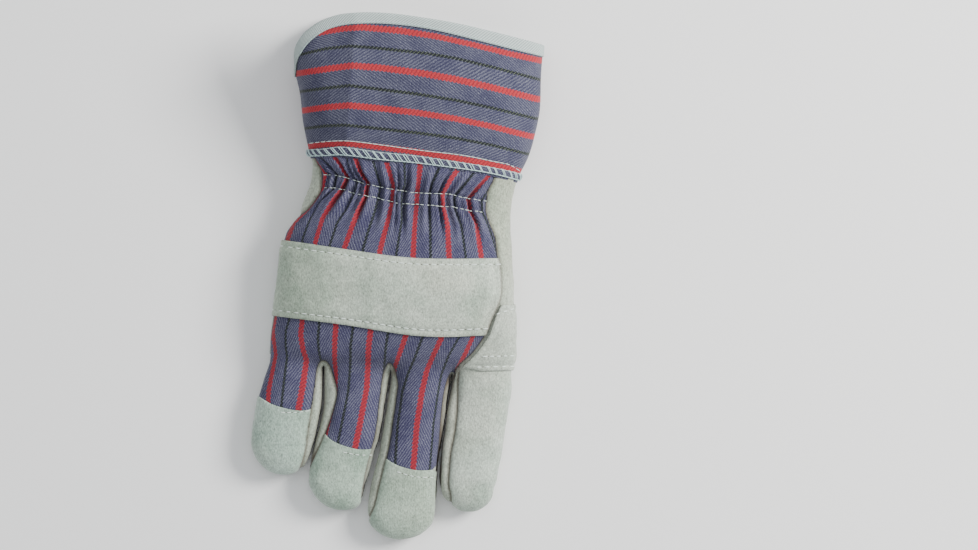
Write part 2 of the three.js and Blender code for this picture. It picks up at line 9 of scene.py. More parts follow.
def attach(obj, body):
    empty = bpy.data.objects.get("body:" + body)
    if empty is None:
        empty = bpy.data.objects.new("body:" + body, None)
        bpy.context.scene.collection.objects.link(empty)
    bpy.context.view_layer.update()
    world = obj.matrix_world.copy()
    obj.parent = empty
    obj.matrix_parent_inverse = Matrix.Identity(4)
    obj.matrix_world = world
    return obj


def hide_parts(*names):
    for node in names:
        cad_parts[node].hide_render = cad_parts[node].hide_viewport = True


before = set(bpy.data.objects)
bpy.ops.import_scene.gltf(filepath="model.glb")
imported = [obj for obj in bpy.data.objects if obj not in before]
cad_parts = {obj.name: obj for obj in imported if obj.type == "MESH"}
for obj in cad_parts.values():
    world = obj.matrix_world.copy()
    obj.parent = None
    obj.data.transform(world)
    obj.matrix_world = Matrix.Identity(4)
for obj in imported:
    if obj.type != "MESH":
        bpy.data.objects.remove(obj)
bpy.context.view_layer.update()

# Lengths are in millimetres here and become metres when a piece is made
MM = 0.001
VOXEL = 0.9
WALL = 1.2
ROUNDNESS = 0.85
SEAM_BELOW_EDGE = 2.5
EDGE_SPAN = 70
SEED = 7
GATHER_DEPTH = 1.45
ELASTIC, PINCH_DEPTH = 1.1, 0.9
# How the gathers fade: share left at the cuff and way up to it, smooth start below and way down
KEPT_AT_CUFF, FADES_ABOVE, FADES_FROM, FADES_BELOW = 0.55, 14, 2, 22
# Unevenness as depth and size, grooves at seams as depth and width
HAND_UNEVEN = [(0.55, 24), (0.25, 9)]
CUFF_UNEVEN = [(0.8, 42), (0.22, 12)]
TURNED_GROOVE = [(0.8, 0.8), (0.55, 2.6)]
SIDE_GROOVE = [(0.5, 0.8), (0.35, 2.4)]
# Points in each ring, over the top and below, and steps from one row of a table to the next
SLEEVE_COUNTS, FINGER_COUNTS, THUMB_COUNTS, CUFF_COUNTS, WRIST_COUNTS = (
    (110, 70), (56, 40), (40, 28), (220, 130), (110, 110))
SLEEVE_STEPS, FINGER_STEPS, THUMB_STEPS, TIP_STEPS, CUFF_STEPS, WRIST_STEPS = 6, 6, 8, 7, 14, 26
ARC_POINTS = 121
TIP_CLOSES = 0.985
RELAX_STEP = 0.5

# Positions charted on the picture are in its own units, from its upper left corner
PICTURE_SIZE = (978, 550)
PICTURE_SCALE = 0.51
PICTURE_MIDDLE = (397.75, 276.5)
STRIPE_PITCH = 9.9

# Form of the glove

EDGE_HEIGHTS = {  # y: (little finger side, index side)
    145: (24, 17), 57: (18, 17), 20: (13, 20), -10: (11, 21), -40: (10, 14), -56: (8.5, 8.5), -140: (8, 8),
}
PARTING_ARCH = {
    145: 0, 57: 0, 40: 5, 20: 8, 0: 8.5, -20: 9, -40: 9, -50: 7, -60: 0, -140: 0,
}
PARTING_SHARE = {-95: 0, -45: 0, -15: 1, 12: 1, 40: 0.8, 53: 0, 95: 0}
REST_HEIGHTS = {145: 1, 104: 1.4, 84: 3.4, 42: 3.4, 20: 2.1, -48: 2.1, -58: 0, -140: 0}

# Sections, rim to knuckles: left x, left y, right x, right y, crown, underside, lean of the crown
SLEEVE = [
    (-57, 144, 75.5, 133, 50.5, 0, 0.3),
    (-54, 112, 73, 103, 48, 0, 0.3),
    (-50, 93, 72, 83, 44, 0, 0.28),
    (-48.6, 77, 67.5, 64, 40, 0, 0.2),
    (-45.6, 64, 62, 52, 36, 0, 0.1),
    (-44, 57, 60, 45, 35.5, 0, 0.05),
    (-44.5, 49, 58, 37, 33, 0, 0),
    (-46.5, 42, 57.5, 30, 33.5, 0, 0),
    (-51, 31, 57.5, 22, 36, 0, -0.05),
    (-57.5, 19, 58, 11, 37, -1, -0.1),
    (-60.5, -4, 59, -7, 38.5, -2, -0.15),
    (-63, -21, 59.5, -24, 35.5, -3, -0.1),
    (-65, -35, 59.5, -38, 29.5, -3, 0),
    (-65.5, -41, 59, -47, 24, -2, 0),
    (-64, -44, 57.5, -50.5, 15.5, 0, 0),
]
WRIST_ROW = 3
CUFF_ROWS = 7
CUFF_CLOTH_ROWS = 74

# Sections of each finger, root to tip: left x, left y, right x, right y, crown
FINGERS = {
    "little": [
        (-61, -31, -37, -34, 17.5), (-67.5, -49, -38.5, -53, 18.5), (-71, -62, -39, -66, 17.5),
        (-73.8, -76, -41.5, -80, 17), (-75, -85, -44.5, -88, 16.5), (-59.5, -101.5, -59.5, -101.5, 8),
    ],
    "ring": [
        (-37.5, -31, -4.5, -34, 24), (-37.5, -40.5, -4.5, -43, 22.5), (-37.5, -49, -4.5, -52, 20.5),
        (-37, -60, -6, -63, 19), (-39, -72, -7.5, -75, 18.5), (-42.5, -84.5, -10.5, -87.5, 18),
        (-45, -97.5, -14, -100.5, 17.5), (-46, -104, -15.5, -106.5, 17), (-29, -119.5, -29, -119.5, 8),
    ],
    "middle": [
        (-3.5, -31, 27.5, -35, 26), (-3.2, -40.5, 27.5, -44.5, 24.5), (-3, -49.5, 27.5, -54, 22),
        (-4.5, -61, 25.5, -65, 20), (-6.5, -75, 23, -79.5, 19), (-9, -87.5, 21, -92, 18.5),
        (-12.5, -99.5, 20, -104, 18), (-14.8, -110, 20, -113.5, 17.5), (-16.8, -118, 19, -120.5, 17),
        (0, -134.5, 0, -134.5, 8),
    ],
    "index": [
        (28.5, -34, 55.5, -37, 20.5), (28, -50.5, 58.5, -55, 20), (26, -63, 57, -67, 18.5),
        (24, -76, 55, -80.5, 18), (22, -88.5, 53, -92.5, 17.5), (21, -100.5, 50.5, -104, 17),
        (21.5, -106, 49, -108.5, 16.5), (35.5, -120.5, 35.5, -120.5, 8),
    ],
}

# Sections of the folded thumb: left x, y, z, right x, y, z, half thickness
THUMB = [
    (40, 45, 13, 56, 39, 15, 9),
    (31, 31, 9, 56.5, 21, 14, 8.5),
    (23.5, 14.5, 7.5, 55, 1.5, 12, 8),
    (16, -2, 6, 46.5, -16, 7, 6.8),
    (8.5, -18, 5.5, 38, -31, 5.5, 5.8),
    (4, -28, 5, 31, -38.5, 5, 5.2),
    (13.5, -44.5, 5, 13.5, -44.5, 5, 5),
]
THUMB_CLEARANCE = 2.5
THUMB_PLATEAU = 0.6
THUMB_SLOPE = 1.4
THUMB_TIP_SHARE = 0.5
THUMB_WIDTH_AT_TIP = 9

# Seams and edges seen from above
RIM = [(-61, 92), (-53.6, 100), (-52.6, 104.5), (-52.3, 110), (-51.6, 117), (-48.2, 123.1), (-43.9, 127),
       (-38.7, 130.2), (-33, 132.3), (-27.4, 133.6), (-17, 134.3), (-4, 133.9), (10, 132.2), (28, 129.3),
       (46, 125.3), (62, 121.4), (75, 118), (90, 113)]
RIM_INNER = [(-61, 88), (-52.9, 99), (-51, 108.9), (-48.6, 114), (-44.9, 118.9), (-39.7, 123.2), (-34, 126.1),
             (-27.4, 127.8), (-18, 128.6), (-6.7, 128.5), (6.6, 127.3), (19.7, 125.1), (38.6, 120.6), (57.4, 115.9),
             (74.4, 111.9), (90, 108)]
CUFF_SEAM_UPPER = [(-95, 65), (-44.2, 64.7), (-28.2, 66.2), (-9, 63.5), (11.7, 61.3), (43.5, 56.4), (62.3, 52.4),
                   (95, 43)]
CUFF_SEAM_LOWER = [(-95, 62), (-44.2, 61.6), (-28, 62.3), (-9, 59.9), (11.7, 57.8), (41, 53.9), (61.5, 49.1),
                   (95, 39.4)]
LEATHER_AT_WRIST = [(-44, 70), (-43, 59.5), (-40.5, 55.5), (-39.5, 51.5), (-39.5, 45.5), (-41, 41.5),
                    (-48, 33.5), (-56, 29)]
INDEX_SIDE_SEAM = [(51.5, 70), (50.6, 57), (49.6, 50), (46.4, 43.4), (45.4, 37), (45.9, 30.7), (49.8, 21),
                   (51.6, 9.5), (52.7, -3), (52, -11.5), (48.6, -20.5), (45, -30), (38.5, -39), (31.5, -46)]
MIDDLE_INDEX_SEAM = [(31.5, -46), (26.5, -53), (23.5, -64), (22, -83.5), (20.8, -98.5), (20.5, -116.5),
                     (22, -127)]
INDEX_BACK_SEAM = [(31.5, -46), (30, -54), (30, -63), (29, -77.5), (26.5, -92), (25.5, -106),
                   (26.5, -113), (25.5, -127)]
RING_MIDDLE_LEATHER = [
    (-16, -124), (-12.5, -117), (-10.5, -109), (-8, -99.5), (-4.5, -83.5), (-1.5, -60.5), (-1, -54),
    (-3.5, -45.5), (-6, -47.5), (-8.5, -63), (-11, -81.5), (-14.5, -94.5), (-17, -107), (-17.5, -114),
]
LITTLE_RING_LEATHER = [
    (-53, -108), (-47.5, -99.5), (-42, -89.5), (-37.5, -79.5), (-32.5, -64), (-32, -57), (-35.5, -46),
    (-38.5, -44), (-40.5, -47), (-42.5, -61), (-45.5, -78.5), (-47, -90), (-49, -97.5),
]
LITTLE_CAP_SEAM = [(-80, -57), (-73.5, -59.5), (-63.5, -65.5), (-50, -68.5), (-41, -67)]
RING_CAP_SEAM = [(-41, -76), (-34, -83.5), (-21.5, -88), (-8, -88)]
MIDDLE_CAP_SEAM = [(-9, -91), (-2, -95.5), (5, -98), (12.5, -99), (24, -98)]
STRAP = [(-95, 22), (-58.5, 18.5), (-27, 14), (1, 10), (21.5, 9), (51.2, 9.2), (52.4, -3), (51.8, -11.2),
         (48.3, -20), (44.7, -29.6), (11.5, -30), (-27, -24.5), (-64, -20), (-95, -16.5)]
STRAP_CORNERS = (5, 9)
PATCH_TOP = [(-95, 9), (20, -5), (48, -14), (62, -14.3), (95, -17)]
PATCH_BOTTOM = [(-95, -38), (20, -44), (36, -48.2), (62, -47.8), (95, -49)]
# Lines in which neighbouring fingers touch, from the little finger's outer side to the index finger's
DIVIDERS = [
    [(-95, -40), (-95, -150)],
    [(-38, -47), (-38.1, -54), (-38.4, -66), (-40.4, -76), (-43.3, -88), (-46.6, -97), (-50, -106), (-50, -150)],
    [(-3.6, -49), (-3.9, -52), (-5.6, -62), (-7.4, -72), (-9.6, -84), (-13.2, -100), (-15.8, -108), (-20, -150)],
    [(27.6, -51), (27.2, -54), (25.2, -65), (23.6, -79), (21.5, -92), (20.5, -105), (20.5, -150)],
    [(95, -40), (95, -150)],
]
# How far down each pair of fingers lies close together
CLOSE_UNTIL = (-100, -86, -116)
CLOSING = [(0, 0), (1.5, 0.3), (2.7, 1.8), (5, 5)]  # distance from the divider before and after
HALF_GAP = 0.7
TOUCH_SOFTNESS = 1.2

# Stripes charted on the picture, left to right, red and black in turn: those above the strap
UPPER_STRIPES = [
    [(312.7, 158.7), (324.7, 174), (322.2, 187.3), (315.2, 199.8), (304.8, 212.2), (294, 223.8), (287.8, 238.7)],
    [(320.6, 157.5), (330.5, 168.2), (336.3, 174.9), (333.8, 188.6), (319.8, 201.4), (309.8, 218.8), (302.3, 239.6)],
    [(333.4, 156.2), (340.5, 164.9), (347.5, 177.4), (341.3, 189), (333, 200.6), (322.2, 217.2), (315.2, 242.9)],
    [(347, 157.5), (349.6, 167.4), (357.9, 182.3), (354.6, 193.1), (348, 208), (337.2, 223), (329.7, 245.4)],
    [(354.2, 157.5), (359.6, 171.6), (367.8, 183.2), (365.4, 196.4), (357.9, 211.4), (351.3, 228.8), (343.8, 248.7)],
    [(373.2, 160), (377, 174.9), (380.3, 186.5), (377.8, 198.9), (374.5, 213), (367.8, 232.9), (362.9, 250.3)],
    [(386.1, 161.6), (389.4, 172.4), (393.5, 186.5), (392.7, 201.4), (389.4, 216.3), (384.4, 234.6), (379.5, 253.6)],
    [(404.7, 163.4), (405.2, 184), (401.6, 192.9), (401.2, 203.6), (402, 221.4), (396.3, 255.4)],
    [(419.9, 166), (419, 176.8), (417.7, 192.9), (416.8, 204.5), (414.6, 225.9), (413.2, 257)],
    [(439.1, 167.9), (432, 184), (429.7, 193.8), (429.3, 205.4), (430.2, 219.6), (430.6, 255.4)],
    [(457.9, 169.6), (450.7, 179.5), (442.7, 193.8), (443.6, 206.7), (448, 225.9), (449.4, 258)],
    [(474.4, 172.3), (464.1, 185.7), (454.3, 197.3), (455.2, 208.9), (461.4, 225), (465.9, 256.3)],
    [(490, 175), (479.3, 186.6), (468.6, 199.1), (470.4, 210.7), (476.6, 223.2), (481.1, 255.4)],
    [(502, 177), (487, 192.9), (482, 200.9), (482.5, 210.7), (490, 228), (499, 257)],
]
# and those below it, carried on beyond the seams where they end
LOWER_STRIPES = [
    [(274.5, 315.3), (272.9, 330.6), (274.8, 345.9), (275.6, 355), (271.8, 372.7), (268.7, 388), (268, 395.6)],
    [(290.1, 316.8), (285.6, 330.6), (285.2, 345.9), (286.7, 356.6), (284.8, 371), (281, 406)],
    [(302, 319), (300.5, 334.4), (303.1, 349), (307, 360.4), (305.4, 370.4), (302.4, 388), (298, 409)],
    [(319.6, 322.2), (318.1, 338.3), (318.8, 349.7), (320.7, 360.4), (323, 385), (321.5, 407), (317, 445)],
    [(336, 325.2), (334.9, 342), (334.5, 361.2), (335.3, 376.5), (333.8, 391.8), (329.5, 412), (325, 434.5)],
    [(352.9, 329), (350.6, 345.9), (350.2, 365), (348, 391), (342.8, 418), (337.9, 441.4)],
    [(370.7, 332), (368.8, 345.9), (368, 368.9), (367, 388), (363.5, 405), (359.6, 424.6), (354.7, 448.3)],
    [(387.9, 334.4), (385.6, 349.7), (384.5, 368.9), (383.5, 392), (380.5, 414), (376.5, 440), (373.5, 455)],
    [(405.9, 336), (400.9, 349.7), (394.8, 365.8), (389, 385), (384.5, 413), (381, 438), (379, 460)],
    [(422.3, 337.5), (415.4, 356.6), (407.8, 373.5), (401.7, 391.8), (397.1, 428.7), (395.2, 461.2)],
    [(441.5, 338.3), (434.6, 352.8), (426.9, 371.2), (422.3, 391.8), (417.2, 423.9), (413.4, 467)],
    [(459.1, 336.7), (448.3, 355.9), (441.5, 375), (437.6, 395.6), (433.5, 423.9), (429.6, 468.9)],
    [(472.8, 336.7), (465.2, 353.6), (456.8, 371.2), (450, 395), (445, 420), (441, 468)],
]
STRIPE_CHANGE = -8
# and those of the cuff, from the rim down
CUFF_STRIPES = [
    [(300, 40), (318, 34), (344, 29.6), (362.5, 28.2), (399.5, 31.4), (436.4, 37.2), (473.4, 45.4), (510.4, 54.4),
     (540, 60.6)],
    [(301.4, 54.9), (325.5, 49.4), (349.5, 46.9), (373.6, 48.5), (429, 54.3), (455, 58.6), (492, 67.3), (541, 80)],
    [(295.9, 74.2), (325.5, 69.9), (353, 66.3), (381, 68.4), (418, 73.1), (455, 79.7), (492, 87.9), (537, 99.2)],
    [(300, 92), (325.5, 88.5), (349.5, 86.2), (381, 90.3), (418, 94.7), (455, 100.6), (492, 108.3), (535, 118.6)],
    [(303.3, 111), (325.5, 107.8), (349.5, 105.8), (381, 108.9), (418, 113), (455, 118.8), (492, 126.8), (531, 136.6)],
    [(305.1, 128.8), (325.5, 126.6), (344, 125.7), (381, 129.3), (418, 133.2), (455, 138.2), (492, 145.3),
     (527, 153.9)],
    [(308.8, 147), (325.5, 144.8), (349.5, 143.9), (381, 147.4), (418, 152.4), (455, 158), (492, 164.6), (523, 172)],
]
CREASE = (-24.6, 0.075, 88)  # x at a given y, and its change with y
CREASE_RISE, CREASE_WIDTH = 1.3, 8
# How far inside the rim the cuff's cloth and its tape begin, and how far the cloth goes on past the seam
CLOTH_IN_RIM, TAPE_IN_RIM, CLOTH_PAST_SEAM = 1.6, 1.1, 1.5

# Stitch rows charted on the picture
SHIRRING = [
    [(320.6, 174.9), (333, 174.9), (346.3, 177.8), (361.2, 182.8), (377, 186.5), (396.9, 190), (416.8, 192.9),
     (438.2, 193.8), (450.7, 194.6), (467.7, 198.7), (484.6, 200.9)],
    [(320.6, 187.7), (333.8, 188.1), (343, 189.4), (354.6, 193.5), (376.1, 197.7), (399.4, 203.5),
     (417.7, 204.5), (440, 206.3), (452.5, 207.1), (467.7, 210.3), (486.4, 212.5)],
]
CAP_STITCHES = {
    "little": [(283, 412.5), (296, 412.5), (307, 411)],
    "ring": [(345, 452.5), (356, 454.8), (370, 455.2)],
    "middle": [(399, 472.5), (415, 476.8), (431.6, 477.5)],
}
PATCH_STITCHES = [[(485, 356.3), (512, 355.8)], [(479, 367), (512, 366.5)], [(498.5, 313.5), (512, 309)]]
CUFF_STITCHES = [(306, 143.8), (325, 141.8), (349, 141.2), (385, 145.6), (418, 150.2), (455, 154.4), (475, 157.6),
                 (492, 161.3), (509, 164.6), (516, 169), (523, 171.6)]


def plan(points):
    """Picture positions as plan positions on the glove."""
    return [((x - PICTURE_MIDDLE[0]) * PICTURE_SCALE, (PICTURE_MIDDLE[1] - y) * PICTURE_SCALE) for x, y in points]


def lerp(a, b, t):
    return a + (b - a) * t


def smooth(t):
    t = np.clip(t, 0, 1)
    return t * t * (3 - 2 * t)


def bell(distance, width):
    return np.exp(-(distance / width) ** 2)


def bells(distance, rows):
    """Bells on top of each other, given as depth and width."""
    return sum(depth * bell(distance, width) for depth, width in rows)


def level(points, x):
    """Where a line drawn in plan is at x."""
    return np.interp(x, *zip(*points))


def divider_at(divider, y):
    """Where the line between two fingers is at y."""
    return np.interp(-y, [-way for _, way in divider], [x for x, _ in divider])


def step_lengths(points):
    return np.linalg.norm(np.diff(points, axis=0), axis=1)


def way_along(points):
    """How far along a line each of its points lies."""
    return np.concatenate([[0], np.cumsum(step_lengths(points))])


def at_length(table, y, column=None):
    keys = sorted(table)
    values = [table[k] if column is None else table[k][column] for k in keys]
    return np.interp(y, keys, values)


def edge_height(x, y):
    across = np.clip((x + EDGE_SPAN) / (2 * EDGE_SPAN), 0, 1)
    return lerp(at_length(EDGE_HEIGHTS, y, 0), at_length(EDGE_HEIGHTS, y, 1), across)


def parting(x, y):
    """Height of the line in which the back and the palm meet."""
    return edge_height(x, y) - SEAM_BELOW_EDGE + at_length(PARTING_ARCH, y) * at_length(PARTING_SHARE, x)


def thumb_lift(x, y):
    """How high the palm stands over the thumb that is folded below it."""
    lift = np.zeros_like(x)
    middles = [((r[0] + r[3]) / 2, (r[1] + r[4]) / 2) for r in THUMB]
    widths = [math.hypot(r[3] - r[0], r[4] - r[1]) / 2 for r in THUMB]
    tops = [(r[2] + r[5]) / 2 + r[6] for r in THUMB]
    for i in range(1, len(THUMB) - 1):
        (ax, ay), (bx, by) = middles[i], middles[i + 1]
        dx, dy = bx - ax, by - ay
        end = THUMB_TIP_SHARE if i == len(THUMB) - 2 else 1
        t = np.clip(((x - ax) * dx + (y - ay) * dy) / (dx * dx + dy * dy), 0, end)
        far = np.hypot(x - ax - t * dx, y - ay - t * dy)
        reach = np.maximum(lerp(widths[i], widths[i + 1], t), THUMB_WIDTH_AT_TIP)
        near = smooth(1 - (far - THUMB_PLATEAU * reach) / (THUMB_SLOPE * reach))
        opening = smooth(t) if i == 1 else 1
        lift = np.maximum(lift, opening * near * (lerp(tops[i], tops[i + 1], t) + THUMB_CLEARANCE))
    return lift


def rest_height(x, y):
    return np.maximum(at_length(REST_HEIGHTS, y), thumb_lift(x, y))


def curve_rows(rows, steps):
    """Rows of a table carried smoothly through all their columns."""
    rows = np.array(rows, float)
    padded = np.vstack([2 * rows[0] - rows[1], rows, 2 * rows[-1] - rows[-2]])
    out = []
    for i in range(len(rows) - 1):
        a, b, c, d = padded[i:i + 4]
        bend, twist = 2 * a - 5 * b + 4 * c - d, 3 * b - a - 3 * c + d
        for t in np.arange(steps) / steps:
            out.append(0.5 * (2 * b + (c - a) * t + bend * t * t + twist * t ** 3))
    out.append(rows[-1])
    return np.array(out)


def spread(line, count, closed=False):
    """Points at equal steps along a line."""
    line = np.asarray(line, float)
    along = way_along(line)
    want = np.linspace(0, along[-1], count, endpoint=not closed)
    return np.stack([np.interp(want, along, line[:, k]) for k in range(line.shape[1])], axis=1)


def flowing(points, spacing, steps):
    """A smooth line through the points of a short table."""
    curve = curve_rows(points, steps)
    return spread(curve, max(2, int(step_lengths(curve).sum() / spacing)))


def flow(points):
    """A smooth closed outline."""
    return flowing(list(points) + [points[0]], 1.5, 5)[:-1]


def line(points):
    return flowing(points, 2.0, 6)


def section(left, right, top, under, lean, counts, free=False):
    """One closed ring between two edges: over the top from right to left, and back below."""
    left, right = np.array(left, float), np.array(right, float)
    half = np.linalg.norm(right - left) / 2
    middle = (left + right) / 2
    side = (right - left)[:2]
    side = side / max(np.linalg.norm(side), 1e-9)

    def edge(t):
        return lerp(left[2], right[2], (t / half + 1) / 2)

    def arc(start):
        angle = np.linspace(start, start + math.pi, ARC_POINTS)
        swing = np.sign(np.cos(angle)) * np.abs(np.cos(angle)) ** ROUNDNESS
        return half * swing, np.abs(np.sin(angle)) ** ROUNDNESS

    t, bulge = arc(0)
    upper = spread(np.stack([t - lean * half * bulge ** 2, edge(t) + top * bulge], axis=1), counts[0], closed=True)
    t, bulge = arc(math.pi)
    x, y = middle[0] + side[0] * t, middle[1] + side[1] * t
    floor = np.zeros_like(t) if free else np.minimum(rest_height(x, y), edge(t))
    lower = spread(np.stack([t, np.maximum(edge(t) - under * bulge, floor)], axis=1), counts[1], closed=True)
    ring = np.vstack([upper, lower])
    return np.stack([middle[0] + side[0] * ring[:, 0], middle[1] + side[1] * ring[:, 0], ring[:, 1]], axis=1)


def edges_at(lx, ly, rx, ry):
    """A section's two edges, and the height of its middle."""
    left, right = (lx, ly, float(edge_height(lx, ly))), (rx, ry, float(edge_height(rx, ry)))
    return left, right, (left[2] + right[2]) / 2


def sleeve_rings(rows, counts):
    rings = []
    for *ends, crown, base, lean in rows:
        left, right, edge = edges_at(*ends)
        rings.append(section(left, right, crown - edge, edge - base, lean, counts))
    return rings


def tube_rings(shapes, tip, counts, free):
    """Rings of a finger, with a rounded end."""
    rings = [section(*shape, 0, counts, free) for shape in shapes]
    left, right, top, under = (np.array(part, float) for part in shapes[-1])
    middle = (left + right) / 2
    ahead = np.array(tip, float) - middle
    ahead[2] = 0
    for k in range(1, TIP_STEPS + 1):
        angle = math.pi / 2 * (k / TIP_STEPS) * TIP_CLOSES
        centre = middle + ahead * math.sin(angle)
        round_ = math.cos(angle)
        half = (right - left) / 2 * round_
        low = min(float(under), middle[2]) * round_
        rings.append(section(centre - half, centre + half, float(top) * round_, low, 0, counts, free))
    return rings


def kept_apart(name, ring):
    """A finger's ring, flattened where the next finger touches it."""

    def past(distance):
        return (distance + np.sqrt(distance ** 2 + TOUCH_SOFTNESS ** 2)) / 2

    number = list(FINGERS).index(name)
    low, high = (divider_at(side, ring[:, 1]) for side in DIVIDERS[number:number + 2])
    low, high = low + HALF_GAP, high - HALF_GAP
    x = low + past(ring[:, 0] - low)
    x = high - past(high - x)
    return np.stack([x, ring[:, 1], ring[:, 2]], axis=1)


def finger_rings(name):
    *rows, tip = FINGERS[name]
    shapes = []
    for *ends, crown in curve_rows(rows, FINGER_STEPS):
        left, right, edge = edges_at(*ends)
        shapes.append((left, right, crown - edge, edge + 2))
    return [kept_apart(name, ring) for ring in tube_rings(shapes, (*tip[:2], 0), FINGER_COUNTS, False)]


def thumb_rings():
    shapes = [(r[:3], r[3:6], r[6], r[6]) for r in curve_rows(THUMB[:-1], THUMB_STEPS)]
    return tube_rings(shapes, THUMB[-1][:3], THUMB_COUNTS, True)


# Meshes as arrays


def strip_faces(rows, columns, start=0, flip=False):
    """Quads between rows of points that close on themselves sideways."""
    r, c = np.meshgrid(np.arange(rows - 1), np.arange(columns), indexing="ij")
    d = (c + 1) % columns
    quads = np.stack([r * columns + c, r * columns + d, (r + 1) * columns + d, (r + 1) * columns + c], axis=-1)
    quads = quads.reshape(-1, 4) + start
    return quads[:, ::-1] if flip else quads


def closed_mesh(rings):
    """A tube with a face at each end."""
    count, size = len(rings), len(rings[0])
    ends = [list(range(size))[::-1], list(range((count - 1) * size, count * size))]
    return np.vstack(rings), strip_faces(count, size).tolist() + ends


def placed(name, data):
    """A new object in the scene."""
    ob = bpy.data.objects.new(name, data)
    bpy.context.scene.collection.objects.link(ob)
    return ob


def union_skin(groups, voxel):
    """One closed skin round several closed meshes, as points and triangles."""
    points, faces, start = [], [], 0
    for p, f in groups:
        points.append(p)
        faces += [[start + i for i in face] for face in f]
        start += len(p)
    mesh = bpy.data.meshes.new("form")
    mesh.from_pydata(np.vstack(points).tolist(), [], faces)
    ob = placed("form", mesh)
    remesh = ob.modifiers.new("form", "REMESH")
    remesh.mode = "VOXEL"
    remesh.voxel_size = voxel
    made = ob.evaluated_get(bpy.context.evaluated_depsgraph_get()).to_mesh()
    made.calc_loop_triangles()
    co = np.zeros(len(made.vertices) * 3)
    made.vertices.foreach_get("co", co)
    tri = np.zeros(len(made.loop_triangles) * 3, int)
    made.loop_triangles.foreach_get("vertices", tri)
    ob.to_mesh_clear()
    bpy.data.objects.remove(ob)
    return co.reshape(-1, 3), tri.reshape(-1, 3)


def sides_of(faces):
    return np.vstack([faces[:, [0, 1]], faces[:, [1, 2]], faces[:, [2, 0]]])


def relax(points, faces, times, weight=None, back=1.04):
    """Evens out a skin, without shrinking it much unless back is 0."""
    edges = np.unique(np.sort(sides_of(faces), axis=1), axis=0)
    degree = np.bincount(edges.ravel(), minlength=len(points))[:, None]
    for k in range(times):
        total = np.zeros_like(points)
        np.add.at(total, edges[:, 0], points[edges[:, 1]])
        np.add.at(total, edges[:, 1], points[edges[:, 0]])
        move = total / np.maximum(degree, 1) - points
        step = RELAX_STEP if k % 2 == 0 or not back else -RELAX_STEP * back
        points = points + step * move * (1 if weight is None else weight[:, None])
    return points


def normals_of(points, faces):
    a, b, c = points[faces[:, 0]], points[faces[:, 1]], points[faces[:, 2]]
    flat = np.cross(b - a, c - a)
    out = np.zeros_like(points)
    for k in range(3):
        np.add.at(out, faces[:, k], flat)
    return out / np.maximum(np.linalg.norm(out, axis=1), 1e-12)[:, None]


def clip(points, faces, field):
    """The part of a skin on which the field is above zero. Points carry all their columns along."""
    count_in = (field > 0)[faces].sum(axis=1)

    def turned(rows, wanted):
        first = wanted.argmax(axis=1)
        return np.take_along_axis(rows, (first[:, None] + np.arange(3)) % 3, axis=1)

    inside = field > 0
    one, two = faces[count_in == 1], faces[count_in == 2]
    one = turned(one, inside[one])
    two = turned(two, ~inside[two])
    pairs = np.vstack([one[:, [0, 1]], one[:, [0, 2]], two[:, [0, 1]], two[:, [0, 2]]]).astype(np.int64)
    key = pairs.min(axis=1) * len(points) + pairs.max(axis=1)
    unique, back = np.unique(key, return_inverse=True)
    a, b = unique // len(points), unique % len(points)
    share = (field[a] / (field[a] - field[b]))[:, None]
    cuts = points[a] + (points[b] - points[a]) * share
    ids = len(points) + back.ravel()
    k, m = len(one), len(two)
    o1, o2, t1, t2 = ids[:k], ids[k:2 * k], ids[2 * k:2 * k + m], ids[2 * k + m:]
    faces = np.vstack([
        faces[count_in == 3],
        np.stack([one[:, 0], o1, o2], axis=1),
        np.stack([two[:, 1], two[:, 2], t1], axis=1),
        np.stack([two[:, 2], t2, t1], axis=1),
    ])
    return compact(np.vstack([points, cuts]), faces)


def compact(points, faces):
    used = np.unique(faces)
    new = np.zeros(len(points), int)
    new[used] = np.arange(len(used))
    return points[used], new[faces]


def rim_of(faces):
    """Directed edges that only one face has."""
    pairs = sides_of(faces)
    _, first, count = np.unique(np.sort(pairs, axis=1), axis=0, return_index=True, return_counts=True)
    return pairs[first[count == 1]]


def shell(points, faces, thickness):
    """A sheet of leather or cloth with a thickness, from its outer skin."""
    inner = points - normals_of(points, faces) * thickness
    n = len(points)
    rim = rim_of(faces)
    sides = np.vstack([
        np.stack([rim[:, 1], rim[:, 0], rim[:, 0] + n], axis=1),
        np.stack([rim[:, 1], rim[:, 0] + n, rim[:, 1] + n], axis=1),
    ])
    return np.vstack([points, inner]), np.vstack([faces, faces[:, ::-1] + n, sides])


def line_distance(x, y, line):
    """Distance in plan from each point to a line."""
    line = np.asarray(line, float)
    best = np.full(len(x), 1e9)
    for (ax, ay), (bx, by) in zip(line[:-1], line[1:]):
        dx, dy = bx - ax, by - ay
        t = np.clip(((x - ax) * dx + (y - ay) * dy) / max(dx * dx + dy * dy, 1e-9), 0, 1)
        best = np.minimum(best, np.hypot(x - ax - t * dx, y - ay - t * dy))
    return best


def outline_field(x, y, outline):
    """Distance to a closed outline, above zero inside it."""
    line = np.vstack([outline, outline[:1]])
    inside = np.zeros(len(x), bool)
    for (ax, ay), (bx, by) in zip(line[:-1], line[1:]):
        crosses = (ay > y) != (by > y)
        inside ^= crosses & (x < (bx - ax) * (y - ay) / (by - ay if by != ay else 1e-9) + ax)
    return np.where(inside, 1, -1) * line_distance(x, y, line)


def rough(points, size, seed):
    """Soft unevenness between about -1 and 1, of a given size."""
    shift = Vector([seed * way for way in (13.7, 5.1, 9.3)])
    return np.array([noise.fractal(Vector(p) / size + shift, 1.0, 2.0, 2) for p in points])


def uneven(points, layers, seed):
    """Unevenness of several sizes together, given as depth and size in mm."""
    return sum(depth * rough(points, size, seed + k) for k, (depth, size) in enumerate(layers))


